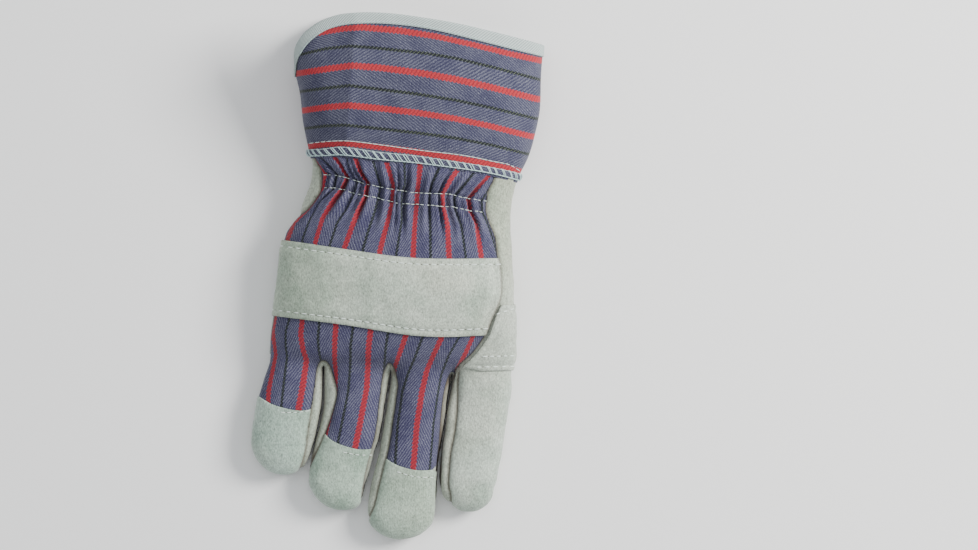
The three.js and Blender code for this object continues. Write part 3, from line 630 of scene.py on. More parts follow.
def stripe_number(chart, across, along):
    """Number of the charted line at a position, with the share of the way to the next one."""
    lines = np.stack([level([(b, a) for a, b in row], along) for row in chart], axis=1)
    k = np.clip((lines <= across[:, None]).sum(axis=1), 1, len(chart) - 1)
    a = np.take_along_axis(lines, k[:, None] - 1, axis=1)[:, 0]
    b = np.take_along_axis(lines, k[:, None], axis=1)[:, 0]
    return k - 1 + (across - a) / np.maximum(b - a, 2)


def on_picture(x, y):
    return x / PICTURE_SCALE + PICTURE_MIDDLE[0], PICTURE_MIDDLE[1] - y / PICTURE_SCALE


def stripes_at(x, y):
    """Which stripe of the back's cloth a plan position lies on: even numbers are red, odd ones black."""
    px, py = on_picture(x, y)
    return np.where(y > STRIPE_CHANGE, *(stripe_number(chart, px, py) for chart in (UPPER_STRIPES, LOWER_STRIPES)))


def cuff_stripes_at(x, y):
    px, py = on_picture(x, y)
    return stripe_number([[(b, a) for a, b in row] for row in CUFF_STRIPES], py, px)


# The hand's skin

KNUCKLES = [(-95, -44.5), (-64, -46), (57.5, -51), (95, -52)]
KNUCKLE_WIDTH = 9
PAST_CUFF_SEAM = 2
SKIN_RELAXED, KNUCKLES_RELAXED = 10, 60

hand_groups = [closed_mesh(sleeve_rings(curve_rows(SLEEVE[WRIST_ROW:], SLEEVE_STEPS), SLEEVE_COUNTS))]
hand_groups += [closed_mesh(finger_rings(name)) for name in FINGERS]
skin, faces = union_skin(hand_groups, VOXEL)
skin = relax(skin, faces, SKIN_RELAXED)
gap_lines = [line(side[:-1]) for side in DIVIDERS[1:-1]]


def nearest(x, y, lines):
    return np.min([line_distance(x, y, one) for one in lines], axis=0)


# The knuckles run smoothly on into the fingers
sx, sy, sz = skin.T
even = bell(sy - level(KNUCKLES, sx), KNUCKLE_WIDTH) * smooth((sz - parting(sx, sy) + 1) / 4)
even *= smooth((nearest(sx, sy, gap_lines) - 0.8) / 3)
skin = relax(skin, faces, KNUCKLES_RELAXED, weight=even, back=0)

# and the fingers lie close together down to where they part
for divider, until in zip(DIVIDERS[1:-1], CLOSE_UNTIL):
    touch = divider_at(divider, skin[:, 1])
    away = skin[:, 0] - touch
    closer = touch + np.sign(away) * level(CLOSING, np.abs(away))
    share = smooth((divider[0][1] + 10 - skin[:, 1]) / 8) * smooth((skin[:, 1] - until + 4) / 8)
    skin[:, 0] = np.where(np.abs(away) < CLOSING[-1][0], lerp(skin[:, 0], closer, share), skin[:, 0])
skin_normals = normals_of(skin, faces)
sx, sy, sz = skin.T

turned_seams = [line(LEATHER_AT_WRIST), line(INDEX_SIDE_SEAM), line(MIDDLE_INDEX_SEAM), line(INDEX_BACK_SEAM),
                flow(RING_MIDDLE_LEATHER), flow(LITTLE_RING_LEATHER)]
cap_seams = {"little": line(LITTLE_CAP_SEAM), "ring": line(RING_CAP_SEAM), "middle": line(MIDDLE_CAP_SEAM)}
shirring = [line(plan(row)) for row in SHIRRING]


def seam_marks(x, y, z):
    """Whether a point is on the back, and how far from the turned seams, the gaps and the side's seam."""
    above = smooth((z - parting(x, y) + 1.5) / 2)
    gap = nearest(x, y, gap_lines)
    side = np.abs(z - parting(x, y)) + 3 * smooth(thumb_lift(x, y) / 6) + 4 * smooth((6 - gap) / 4)
    return above, nearest(x, y, turned_seams), gap, side


def gathers(x, y, stripe):
    """Puckers that two rows of elastic draw into the cloth of the wrist."""
    first, second = (y - level(row, x) for row in shirring)
    middle = (first + second) / 2
    reach = np.where(middle > 0, lerp(1, KEPT_AT_CUFF, smooth(middle / FADES_ABOVE)),
                     1 - smooth((-middle - FADES_FROM) / FADES_BELOW))
    turn = 2 * math.pi * (1.3 * stripe + 0.22 * np.sin(1.9 * stripe) + 0.05 * np.sin(y / 5 + stripe))
    folds = np.cos(turn) + 0.6 * np.cos(1.7 * turn + 1 + 0.5 * np.sin(2.2 * stripe)) - 0.25 * np.cos(2 * turn)
    pinch = bell(first, ELASTIC) + bell(second, ELASTIC)
    under_seam = level(CUFF_SEAM_LOWER, x) - y
    folds *= lerp(0.4, 1, smooth(under_seam / 6))
    return GATHER_DEPTH * reach * folds * (1 - 0.4 * np.clip(pinch, 0, 1)) - PINCH_DEPTH * pinch


above, turned, gap, side = seam_marks(sx, sy, sz)
on_canvas = np.minimum(outline_field(sx, sy, np.array(
    list(LEATHER_AT_WRIST) + [(-95, 29), (-95, -57), *LITTLE_CAP_SEAM, *RING_CAP_SEAM, *MIDDLE_CAP_SEAM[:-1]]
    + list(MIDDLE_INDEX_SEAM[4:0:-1]) + list(INDEX_SIDE_SEAM[::-1]))), 2) > 0
gather = gathers(sx, sy, stripes_at(sx, sy)) * above * smooth(line_distance(sx, sy, line(INDEX_SIDE_SEAM)) / 5)
gather *= smooth(line_distance(sx, sy, line(LEATHER_AT_WRIST)) / 4) * on_canvas
soft = uneven(skin, HAND_UNEVEN, SEED) * smooth((sz - 0.5) / 3)
groove = above * bells(turned, TURNED_GROOVE) + bells(side, SIDE_GROOVE)
full = skin + skin_normals * (gather + soft - groove)[:, None]
full[:, 2] = np.maximum(full[:, 2], np.minimum(skin[:, 2], 0.05))
plain = skin + skin_normals * soft[:, None]
# Darker along the turned seams and the side's seam, and painted shade in the valleys of the gathers and down the gaps
# between the fingers
seams_edges_and_shade = bell(turned, 0.7) * above + 0.6 * bell(side, 0.9)
seams_edges_and_shade += 0.75 * smooth((-gather - 0.5) / 1.6) + 0.9 * bell(gap, 1.1)

# Columns: the form with its seams and gathers, the form without them, the place at rest, the
# direction outwards and how dark it is at seams, with painted shade in the gaps and gather valleys
SKIN = np.hstack([full, plain, skin, skin_normals, seams_edges_and_shade[:, None]])


def top_fields(x, y, z):
    """How far inside each panel of the back a point lies, and inside the palm."""
    between = np.maximum(outline_field(x, y, flow(RING_MIDDLE_LEATHER)), outline_field(x, y, flow(LITTLE_RING_LEATHER)))
    edge = z - parting(x, y)
    index_side, middle_index, index_back = line(INDEX_SIDE_SEAM), line(MIDDLE_INDEX_SEAM), line(INDEX_BACK_SEAM)
    outlines = {
        "back": [line(LEATHER_AT_WRIST), [(-95, 29), (-95, -57)], cap_seams["little"], cap_seams["ring"],
                 cap_seams["middle"][:-3], middle_index[middle_index[:, 1] > -96][::-1], index_side[::-1]],
        "little": [cap_seams["little"], [(-50.5, -101), (-55, -112), (-80, -112)]],
        "ring": [cap_seams["ring"], [(-16.5, -104), (-17.5, -130), (-53, -130), (-52, -107), (-47.5, -98)]],
        "middle": [cap_seams["middle"][:-3], middle_index[middle_index[:, 1] < -99], [(21.5, -140), (-18, -140)]],
        "index": [index_side, index_back, [(25.5, -140), (95, -140), (95, 70)]],
    }
    fields = {}
    for name, parts in outlines.items():
        field = outline_field(x, y, np.vstack(parts))
        if name != "index":
            field = np.minimum(field, -between)
        fields[name] = np.minimum(field, edge)
    fields["palm"] = -np.max(list(fields.values()), axis=0)
    return fields


RIM_LINE, RIM_INNER_LINE = line(RIM), line(RIM_INNER)
SEAM_UPPER_LINE, SEAM_LOWER_LINE = line(CUFF_SEAM_UPPER), line(CUFF_SEAM_LOWER)


def moved(points, y):
    return [(p[0], p[1] + y) for p in points]


def cut_panel(field):
    """A panel of the skin, cut off a little past the lower edge of the cuff's seam."""
    points, tri = clip(SKIN, faces, field)
    return clip(points, tri, level(SEAM_LOWER_LINE, points[:, 6]) + PAST_CUFF_SEAM - points[:, 7])


panels = {name: cut_panel(field) for name, field in top_fields(*SKIN[:, 6:9].T).items()}

# The cuff

cuff_rings = np.array(sleeve_rings(curve_rows(SLEEVE[:CUFF_ROWS + 1], CUFF_STEPS), CUFF_COUNTS))
steps_along, around = cuff_rings.shape[:2]

# The cuff bends softly along one line, left of which it falls away
crease_at = cuff_rings[..., 0] - (CREASE[0] + CREASE[1] * (cuff_rings[..., 1] - CREASE[2]))
crease = CREASE_RISE * np.exp(-np.sqrt(crease_at ** 2 + 1) / CREASE_WIDTH) * smooth((cuff_rings[..., 2] - 22) / 10)
cuff_rings[..., 2] += crease * smooth((cuff_rings[..., 1] - 58) / 20)


def cross_at(points):
    """Where each lengthways line of the cuff meets a line drawn in plan."""
    found = np.zeros(around)
    for k in range(around):
        x, y = cuff_rings[:, k, 0], cuff_rings[:, k, 1]
        over = y - level(points, x)
        i = int(np.argmax((over[:-1] >= 0) & (over[1:] < 0)))
        found[k] = i + over[i] / (over[i] - over[i + 1])
    return found


def along_cuff(start, end, count):
    """Rows of points between two lines on the cuff."""
    rows = []
    for t in np.linspace(0, 1, count):
        at = np.clip(lerp(start, end, t), 0, steps_along - 1.001)
        i = at.astype(int)
        k = np.arange(around)
        rows.append(lerp(cuff_rings[i, k], cuff_rings[i + 1, k], (at - i)[:, None]))
    return np.array(rows)


def grid_normals(grid):
    ahead = np.roll(grid, -1, axis=1) - np.roll(grid, 1, axis=1)
    down = np.gradient(grid, axis=0)
    normal = np.cross(ahead, down)
    normal /= np.maximum(np.linalg.norm(normal, axis=2), 1e-9)[..., None]
    middle = grid.mean(axis=1, keepdims=True)
    if ((grid - middle) * normal).sum() < 0:
        normal = -normal
    return normal


def tube_from(profile):
    """A closed band from lines that run round the cuff, in the order of its cross-section."""
    profile = np.array(profile)
    count, columns = profile.shape[:2]
    quads = strip_faces(count + 1, columns) % (count * columns)
    points = profile.reshape(-1, 3)
    centre = profile.mean(axis=0)
    a, b, c = points[quads[:, 0]], points[quads[:, 1]], points[quads[:, 2]]
    outward = np.cross(b - a, c - a)
    away = points[quads[:, 0]] - centre[quads[:, 0] % columns]
    return points, quads if (outward * away).sum() > 0 else quads[:, ::-1]


rim = cross_at(moved(RIM_LINE, -TAPE_IN_RIM))
rim_inner = np.maximum(cross_at(RIM_INNER_LINE), rim + 0.02)
seam_upper, seam_lower = cross_at(SEAM_UPPER_LINE), cross_at(SEAM_LOWER_LINE)

cuff_outer = along_cuff(cross_at(moved(RIM_LINE, -CLOTH_IN_RIM)),
                        cross_at(moved(SEAM_LOWER_LINE, -CLOTH_PAST_SEAM)), CUFF_CLOTH_ROWS)


def cuff_soft(grid):
    """Soft unevenness of the cuff's cloth, which the tape and the seam on it follow, and the way outwards."""
    normal = grid_normals(grid)
    shape = uneven(grid.reshape(-1, 3), CUFF_UNEVEN, SEED + 3).reshape(grid.shape[:2])
    shape *= smooth((grid[..., 2] - 1.2) / 4)
    return grid + normal * shape[..., None], normal


cuff_skin, cuff_normals = cuff_soft(cuff_outer)


def walled(grid, normal, thickness):
    """A band of the cuff with its thickness."""
    rows, columns = grid.shape[:2]
    inner = grid - normal * thickness
    n = rows * columns
    quads = [strip_faces(rows, columns), strip_faces(rows, columns, n, flip=True)]
    for r in (0, rows - 1):
        c = np.arange(columns)
        d = (c + 1) % columns
        ring = np.stack([r * columns + d, r * columns + c, n + r * columns + c, n + r * columns + d], axis=1)
        quads.append(ring if r == 0 else ring[:, ::-1])
    quads = np.vstack(quads)
    points = np.vstack([grid.reshape(-1, 3), inner.reshape(-1, 3)])
    a, b, c = (points[quads[:n // 2, k]] for k in range(3))
    facing = (np.cross(b - a, c - a) * normal.reshape(-1, 3)[quads[:n // 2, 0]]).sum()
    return points, quads if facing > 0 else quads[:, ::-1]


# Colours and fabrics

# Where the edge of a stripe begins and ends, as a share of the way from its middle to the next stripe
RED_EDGE = (0.135, 0.165)
BLACK_EDGE = (0.062, 0.086)
FLECKS = (0.34, 0.36, 0.42, 1)
# Dark of the cloth in its seams, also its painted shade in gaps, gather valleys and left of the cuff's crease
SEAM_AND_SHADE_ON_CLOTH = (0.006, 0.006, 0.014, 1)
LEATHER_SPECKS = (0.16, 0.15, 0.125, 1)
NAP_LIES = (1.0, 0.5, 1.0)  # the nap lies lengthways on the glove
FABRIC_ROUGHNESS = 0.9
FABRIC_SHINE = 0.25
SHEEN_ROUGHNESS = 0.6


class Signal:
    """What a node puts out, for use in ordinary sums."""

    def __init__(self, net, socket):
        self.net, self.socket = net, socket

    def __add__(self, other):
        return self.net.math("ADD", self, other)

    def __sub__(self, other):
        return self.net.math("SUBTRACT", self, other)

    def __rsub__(self, other):
        return self.net.math("SUBTRACT", other, self)

    def __mul__(self, other):
        return self.net.math("MULTIPLY", self, other)

    def zigzag(self, height):
        return self.net.math("PINGPONG", self, height)

    def ramp(self, low, high, out_low=0.0, out_high=1.0):
        return self.net.add("ShaderNodeMapRange", enumerate((self, low, high, out_low, out_high)),
                            interpolation_type="SMOOTHSTEP")

    __radd__, __rmul__ = __add__, __mul__


class Net:
    """Short ways to add and join nodes."""

    def __init__(self, tree):
        self.tree = tree

    def join(self, source, target):
        if isinstance(source, Signal):
            self.tree.links.new(source.socket, target)
        else:
            target.default_value = source

    def add(self, kind, given=(), output=0, **settings):
        """A new node with links or values on its inputs, and what it puts out."""
        made = self.tree.nodes.new(kind)
        for key, value in settings.items():
            setattr(made, key, value)
        for key, source in dict(given).items():
            self.join(source, made.inputs[key])
        return Signal(self, made.outputs[output])

    def math(self, operation, a, b, clamp=False):
        return self.add("ShaderNodeMath", enumerate((a, b)), operation=operation, use_clamp=clamp)

    def noise(self, vector, scale, detail=2.0, roughness=0.55):
        return self.add("ShaderNodeTexNoise",
                        {"Vector": vector, "Scale": scale, "Detail": detail, "Roughness": roughness}, "Fac")

    def blend(self, share, a, b, how="MIX"):
        return self.add("ShaderNodeMix", {"Factor": share, 6: a, 7: b}, 2, data_type="RGBA", blend_type=how)

    def vector(self, x, y):
        return self.add("ShaderNodeCombineXYZ", enumerate((x, y)))

    def across_and_along(self, place):
        split = self.tree.nodes.new("ShaderNodeSeparateXYZ")
        self.join(place, split.inputs[0])
        return Signal(self, split.outputs[0]), Signal(self, split.outputs[1])


def new_group(name, kind, inputs, outputs):
    """A node group with its inputs as signals, and its sockets to be joined last."""
    tree = bpy.data.node_groups.new(name, kind)
    for way, rows in (("INPUT", inputs), ("OUTPUT", outputs)):
        for label, socket_kind, *value in rows:
            socket = tree.interface.new_socket(label, in_out=way, socket_type="NodeSocket" + socket_kind)
            if value:
                socket.default_value = value[0]
    net = Net(tree)
    source, end = tree.nodes.new("NodeGroupInput"), tree.nodes.new("NodeGroupOutput")
    return net, {row[0]: Signal(net, source.outputs[row[0]]) for row in inputs}, end.inputs


def fabric(name, inputs, nodes_of):
    """A node group that gives a fabric's colour and its fine relief."""
    net, given, end = new_group(name, "ShaderNodeTree", [("Place", "Vector"), *inputs],
                                [("Colour", "Color"), ("Height", "Float")])
    colour, height = nodes_of(net, given)
    net.join(colour, end["Colour"])
    net.join(height, end["Height"])
    return net.tree


def striped_cloth(net, given):
    """Twill of blue and white yarns with red stripes and twisted black and green ones between them."""
    stripe_u, along = net.across_and_along(given["Place"])
    across = stripe_u * given["Pitch"]
    from_red = stripe_u.zigzag(1.0)
    fibre = net.noise(net.vector(across * 2.6, along * 1.5), 1.0, 3.0, 0.7)
    wander = (net.noise(net.vector(across, along), 0.6) - 0.5) * 0.9
    # The twill turns round at every stripe
    diagonal = from_red * given["Pitch"] * -0.66 + wander + along * 0.42
    ridge = diagonal.zigzag(0.5).ramp(0.1, 0.4)
    pick = (along + across * -0.3).zigzag(0.27).ramp(0.05, 0.22)
    weave = ridge * (pick * 0.35 + 0.65)
    patchy = net.noise(net.vector(across, along), 0.09, 3.0)
    light = (1.0 - weave) * fibre.ramp(0.3, 0.65, 0.45, 1.0) + fibre.ramp(0.44, 0.66) * 0.4
    colour = net.blend(light * patchy.ramp(0.3, 0.7, 0.55, 1.15), given["Dark yarn"], given["Light yarn"])
    colour = net.blend(fibre.ramp(0.56, 0.7) * (1.0 - ridge) * 0.85, colour, FLECKS)
    # The stripes' edges are frayed by the fibres and the knots of their yarn
    knot = (along * 0.5 + across * 0.4).zigzag(0.5)
    knot = (knot + (fibre - 0.5) * 0.8).ramp(0.0, 0.4)
    frayed = (fibre - 0.5) * 0.09 - (knot - 0.5) * 0.05
    red = (from_red + frayed).ramp(*RED_EDGE, 1.0, 0.0)
    black = (1.0 - from_red + frayed).ramp(*BLACK_EDGE, 1.0, 0.0)
    rib = knot.ramp(0.0, 1.0, 0.35, 1.0) * fibre.ramp(0.3, 0.6, 0.5, 1.0)
    colour = net.blend(red * 0.95, colour, net.blend(rib, given["Red"], given["Pale red"]))
    twist = (along * 0.52 + across * 0.6).zigzag(0.5).ramp(0.3, 0.46) * fibre.ramp(0.4, 0.6, 0.2, 1.0)
    colour = net.blend(black * 0.97, colour, net.blend(twist, given["Black"], given["Green"]))
    # Darker at seams, with painted shade in the gaps, the valleys of the gathers and left of the cuff's crease
    colour = net.blend(given["Closeness of seam"] * 0.88, colour, SEAM_AND_SHADE_ON_CLOTH)
    return colour, weave * 0.6 + fibre * 0.5


def split_leather(net, given):
    """Suede side of split cowhide: a pale nap with soft blotches, streaks and dark flecks."""
    place = given["Place"]
    blotch, cloud = net.noise(place, 45.0, 4.0, 0.6), net.noise(place, 16.0, 2.0)
    lying = net.add("ShaderNodeVectorMath", enumerate((place, NAP_LIES)), operation="MULTIPLY")
    nap, grain = net.noise(lying, 1500.0, 3.0, 0.7), net.noise(lying, 480.0, 3.0, 0.65)
    colour = net.blend(blotch.ramp(0.35, 0.7), given["Nap"], given["Shade"])
    colour = net.blend(cloud.ramp(0.45, 0.68) * 0.4, colour, given["Warm"])
    # A tint that changes from one side of a piece to the other multiplies its colour; on the strap, the palm and the
    # index side it is painted shade and light
    way = net.add("ShaderNodeVectorMath", enumerate((place, given["Tint across"])), "Value",
                  operation="DOT_PRODUCT")
    share = way.ramp(given["First place"], given["Last place"])
    colour = net.blend(1.0, colour, net.blend(share, given["First tint"], given["Last tint"]), "MULTIPLY")
    dapple = (nap - 0.5) * 2.1 + (grain - 0.5) * 0.5
    colour = net.add("ShaderNodeHueSaturation", {"Value": dapple + 1.0, "Color": colour})
    colour = net.blend(grain.ramp(0.22, 0.3, 1.0, 0.0) * 0.12, colour, LEATHER_SPECKS)
    # Brown at seams and cut edges, with painted shade in the gaps between the fingers and where the thumb folds in
    # under the palm
    colour = net.blend(given["Closeness of seam"] * 0.85, colour, given["Cut"])
    return colour, nap * 0.4 + grain * 0.8


def tape_weave(net, given):
    """Narrow twill tape with its diagonal ribs."""
    across, along = net.across_and_along(given["Place"])
    rib = (across * 0.62 + along * 0.5).zigzag(0.5).ramp(0.06, 0.36)
    fibre = net.noise(given["Place"], 3.2, 3.0)
    shade = net.math("ADD", rib * 0.7, fibre * 0.45, clamp=True)
    return net.blend(shade, given["Between"], given["Yarn"]), rib + fibre * 0.4


CLOTH_GROUP = fabric("striped_cloth", [
    ("Closeness of seam", "Float", 0.0),
    ("Pitch", "Float", STRIPE_PITCH),
    ("Dark yarn", "Color", (0.013, 0.011, 0.056, 1)),
    ("Light yarn", "Color", (0.118, 0.119, 0.177, 1)),
    ("Red", "Color", (0.12, 0.004, 0.014, 1)),
    ("Pale red", "Color", (0.35, 0.02, 0.03, 1)),
    ("Black", "Color", (0.006, 0.008, 0.011, 1)),
    ("Green", "Color", (0.08, 0.105, 0.09, 1)),
], striped_cloth)
LEATHER_GROUP = fabric("split_leather", [
    ("Closeness of seam", "Float", 0.0),
    ("Nap", "Color", (0.4, 0.46, 0.4, 1)),
    ("Shade", "Color", (0.28, 0.35, 0.29, 1)),
    ("Warm", "Color", (0.45, 0.45, 0.38, 1)),
    ("Cut", "Color", (0.085, 0.064, 0.043, 1)),
    ("Tint across", "Vector", (1, 0, 0)),
    ("First tint", "Color", (1, 1, 1, 1)),
    ("Last tint", "Color", (1, 1, 1, 1)),
    ("First place", "Float", -0.05),
    ("Last place", "Float", 0.05),
], split_leather)
TAPE_GROUP = fabric("tape_weave", [
    ("Yarn", "Color", (0.52, 0.6, 0.58, 1)),
    ("Between", "Color", (0.27, 0.33, 0.33, 1)),
], tape_weave)


def new_finish(name, roughness):
    """A new material, with its nodes and its shader's inputs."""
    made = bpy.data.materials.new(name)
    made.use_nodes = True
    shader = made.node_tree.nodes["Principled BSDF"].inputs
    shader["Roughness"].default_value = roughness
    return made, Net(made.node_tree), shader


def fabric_finish(name, tree, place, relief, sheen, values):
    """A material in which a group gives the colour and the relief, whose height is in mm."""
    made, net, shader = new_finish(name, FABRIC_ROUGHNESS)
    shader["Specular IOR Level"].default_value = FABRIC_SHINE
    shader["Sheen Weight"].default_value = sheen
    shader["Sheen Roughness"].default_value = SHEEN_ROUGHNESS
    group = made.node_tree.nodes.new("ShaderNodeGroup")
    group.node_tree = tree
    if place == "object":
        net.join(net.add("ShaderNodeTexCoord", output="Object"), group.inputs["Place"])
    else:
        net.join(net.add("ShaderNodeUVMap", uv_map=place), group.inputs["Place"])
    if "Closeness of seam" in group.inputs:
        closeness = net.add("ShaderNodeAttribute", output="Fac", attribute_name="seam_and_shade")
        net.join(closeness, group.inputs["Closeness of seam"])
    for key, value in values.items():
        socket = group.inputs[key.replace("_", " ")]
        socket.default_value = (*value, 1) if socket.type == "RGBA" else value
    net.join(Signal(net, group.outputs["Colour"]), shader["Base Color"])
    net.join(net.add("ShaderNodeBump", {
        "Distance": relief * MM, "Strength": 1.0, "Height": Signal(net, group.outputs["Height"]),
    }), shader["Normal"])
    return made


def leather_finish(name, **values):
    return fabric_finish(name, LEATHER_GROUP, "object", 0.28, 0.25, values)


def cloth_finish(name, **values):
    return fabric_finish(name, CLOTH_GROUP, "stripe", 0.16, 0.1, values)


def thread_finish(name, colour, roughness=0.7):
    made, _, shader = new_finish(name, roughness)
    shader["Base Color"].default_value = (*colour, 1)
    return made


LEATHER = leather_finish("leather")
# The palm's leather is darker and warmer, and a little darker on the little finger's side: painted shade on its strips
# that turn away from the light
PALM_LEATHER = leather_finish("palm_leather", Nap=(0.4, 0.44, 0.38), Shade=(0.3, 0.345, 0.285),
                              Warm=(0.44, 0.43, 0.365), First_tint=(0.94, 0.95, 0.91),
                              Last_tint=(0.98, 0.97, 0.94))
# The strap is darker and greener on the little finger's side and lighter towards the index: painted shade where it
# turns away from the light and painted light where it faces it
STRAP_LEATHER = leather_finish("strap_leather", First_tint=(0.94, 0.96, 0.88), Last_tint=(1.13, 1.1, 1.07),
                               First_place=-0.05, Last_place=-0.015)
CAP_LEATHER = leather_finish("cap_leather", First_tint=(0.91, 1.0, 0.99), Last_tint=(0.83, 0.92, 0.86),
                             First_place=-0.06, Last_place=-0.035)
# The index side's leather is darker and warmer towards the wrist, where it turns away from the light: painted shade; it
# is a little lighter towards the fingertip
INDEX_LEATHER = leather_finish("index_leather", Tint_across=(0, 1, 0), First_tint=(1.06, 1.05, 1.04),
                               Last_tint=(0.86, 0.82, 0.74), First_place=-0.04, Last_place=0.02)
CLOTH = cloth_finish("cloth")
CUFF_CLOTH = cloth_finish("cuff_cloth", Dark_yarn=(0.014, 0.014, 0.05), Light_yarn=(0.106, 0.109, 0.153),
                          Green=(0.12, 0.15, 0.1), Red=(0.17, 0.005, 0.013), Pale_red=(0.47, 0.028, 0.034))
TAPE = fabric_finish("tape", TAPE_GROUP, "band", 0.25, 0.0, {})
WHITE_THREAD = thread_finish("white_thread", (0.6, 0.68, 0.64))
LEATHER_THREAD = thread_finish("leather_thread", (0.76, 0.83, 0.79))
PALE_THREAD = thread_finish("pale_thread", (0.42, 0.56, 0.56))
HOLE = thread_finish("needle_hole", (0.1, 0.09, 0.075), 1.0)

# Pieces

# No stripe can be charted from above where the cloth goes down the little finger's side, so there the
# stripes are counted on by how far a point lies below the shoulder, the height where the side turns steep
STEEP = 0.34
SIDE_SPAN = (-130, 70)
SIDE_STEP = 2.0
SIDE_REACH = 12
SIDE_FADE = 3
SHOULDER_EVENED = 7
# Fingertip leather stands over the cloth that it is sewn to
CAP_RISE, CAP_RISE_FADES = 0.7, 14
# Second layers: how far off the skin they lie, with a rolled edge, a dip at the stitches and a swell inside
LAYER_LIFT, ROLLED_EDGE, EDGE_WIDTH = 0.3, 0.45, 0.7
STITCH_INSET, STITCH_DIP, DIP_WIDTH = 3.0, 0.45, 0.9
SWELL, SWELL_AT, SWELL_WIDTH = 0.25, 2.2, 3
STRAP_THICK, PATCH_THICK = 1.3, 0.9
PATCH_PAST_SEAM = 1.2
# The thumb
THUMB_VOXEL, THUMB_RELAXED, THUMB_TUCKED = 1.2, 8, 1.6
THUMB_CREASES, THUMB_CREASE_SIZE = 0.5, 11
# The tape, the overlocked seam and the tab
TAPE_PROUD, TAPE_THICK, TAPE_ROWS, TAPE_BEND = 0.75, 0.6, 9, 6
BAND_ROWS, BAND_RISE, BAND_SWELL, BAND_THICK = 9, 0.75, 0.6, 1.1
TAB = {"left": -22, "right": 37, "top": 77, "bottom": 45, "corner": 11, "skew": -0.12}
TAB_HEIGHT, TAB_INSET, TAB_THICK = 2.9, 2.6, 1.3

surfaces = {}
side_rows = np.arange(*SIDE_SPAN, SIDE_STEP)
side_row = np.clip(np.round((skin[:, 1] - side_rows[0]) / SIDE_STEP).astype(int), 0, len(side_rows) - 1)
left_edge = np.full(len(side_rows), 99.0)
np.minimum.at(left_edge, side_row, skin[:, 0])
steep = (skin_normals[:, 2] < STEEP) & (skin_normals[:, 0] < 0) & (skin[:, 0] < left_edge[side_row] + SIDE_REACH)
shoulder = np.zeros(len(side_rows))
np.maximum.at(shoulder, side_row[steep], skin[steep, 2])
shoulder = np.convolve(np.pad(shoulder, SHOULDER_EVENED // 2, "edge"),
                       np.ones(SHOULDER_EVENED) / SHOULDER_EVENED, "valid")


def stripes_on(rest):
    """Stripe number and way along the cloth at points of the skin."""
    x, y, z = rest.T
    drop = np.maximum(np.interp(y, side_rows, shoulder) - z, 0)
    drop *= smooth((np.interp(y, side_rows, left_edge) + SIDE_REACH - x) / SIDE_FADE)
    return np.stack([stripes_at(x, y) - drop / STRIPE_PITCH, -y], axis=1)


def round_from_middle(rings):
    """Way round closed rings from the middle of their top, to the right as positive, and back again below."""
    steps = np.linalg.norm(np.roll(rings, -1, axis=1) - rings, axis=2)
    way = np.cumsum(steps, axis=1) - steps
    whole = steps.sum(axis=1, keepdims=True)
    return whole / 4 - np.minimum(way, whole - way)


def double(values):
    """Values of the outer skin, given to the inner one as well."""
    return np.concatenate([values, values])


def riding(ob):
    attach(ob, "root")


def piece(name, points, sides, material, slot, nodes, uv=None, uv_name="stripe", seam_and_shade=None):
    """A finished piece in metres, riding on the glove's one body."""
    mesh = bpy.data.meshes.new(name)
    mesh.from_pydata((np.asarray(points) * MM).tolist(), [], np.asarray(sides).tolist())
    if uv is not None:
        layer = mesh.uv_layers.new(name=uv_name)
        loops = np.zeros(len(mesh.loops), int)
        mesh.loops.foreach_get("vertex_index", loops)
        layer.data.foreach_set("uv", np.asarray(uv, np.float32)[loops].ravel())
    if seam_and_shade is not None:
        mesh.attributes.new("seam_and_shade", "FLOAT", "POINT").data.foreach_set("value", np.asarray(seam_and_shade, np.float32))
    mesh.polygons.foreach_set("use_smooth", np.ones(len(mesh.polygons), bool))
    mesh.materials.append(material)
    mesh.validate()
    mesh.update()
    ob = placed(name, mesh)
    riding(ob)
    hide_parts(*nodes)


def panel(name, key, material, slot, nodes, outward=None):
    """A panel cut from the skin, with its thickness."""
    columns, tri = panels[key]
    points, rest, normal, seams_edges_and_shade = columns[:, :3], columns[:, 6:9], columns[:, 9:12], columns[:, 12]
    if outward is not None:
        points = points + normal * outward(rest)[:, None]
    surfaces[name] = (points, tri)
    uv = double(stripes_on(rest)) if material == CLOTH else None
    piece(name, *shell(points, tri, WALL), material, slot, nodes, uv, seam_and_shade=double(seams_edges_and_shade))


def raised(key):
    """How far a fingertip's leather stands over the cloth."""
    return lambda rest: CAP_RISE * np.exp(-line_distance(rest[:, 0], rest[:, 1], cap_seams[key]) / CAP_RISE_FADES)


panel("back_canvas", "back", CLOTH, "canvas", ["back_panel"])
for finger in cap_seams:
    panel(finger + "_cap", finger, CAP_LEATHER, "suede", [finger + "_fingertip"], raised(finger))
panel("index_leather", "index", INDEX_LEATHER, "suede", ["index_back"])
panel("palm_leather", "palm", PALM_LEATHER, "suede",
      ["palm", "little_front", "ring_front", "middle_front", "index_front"])


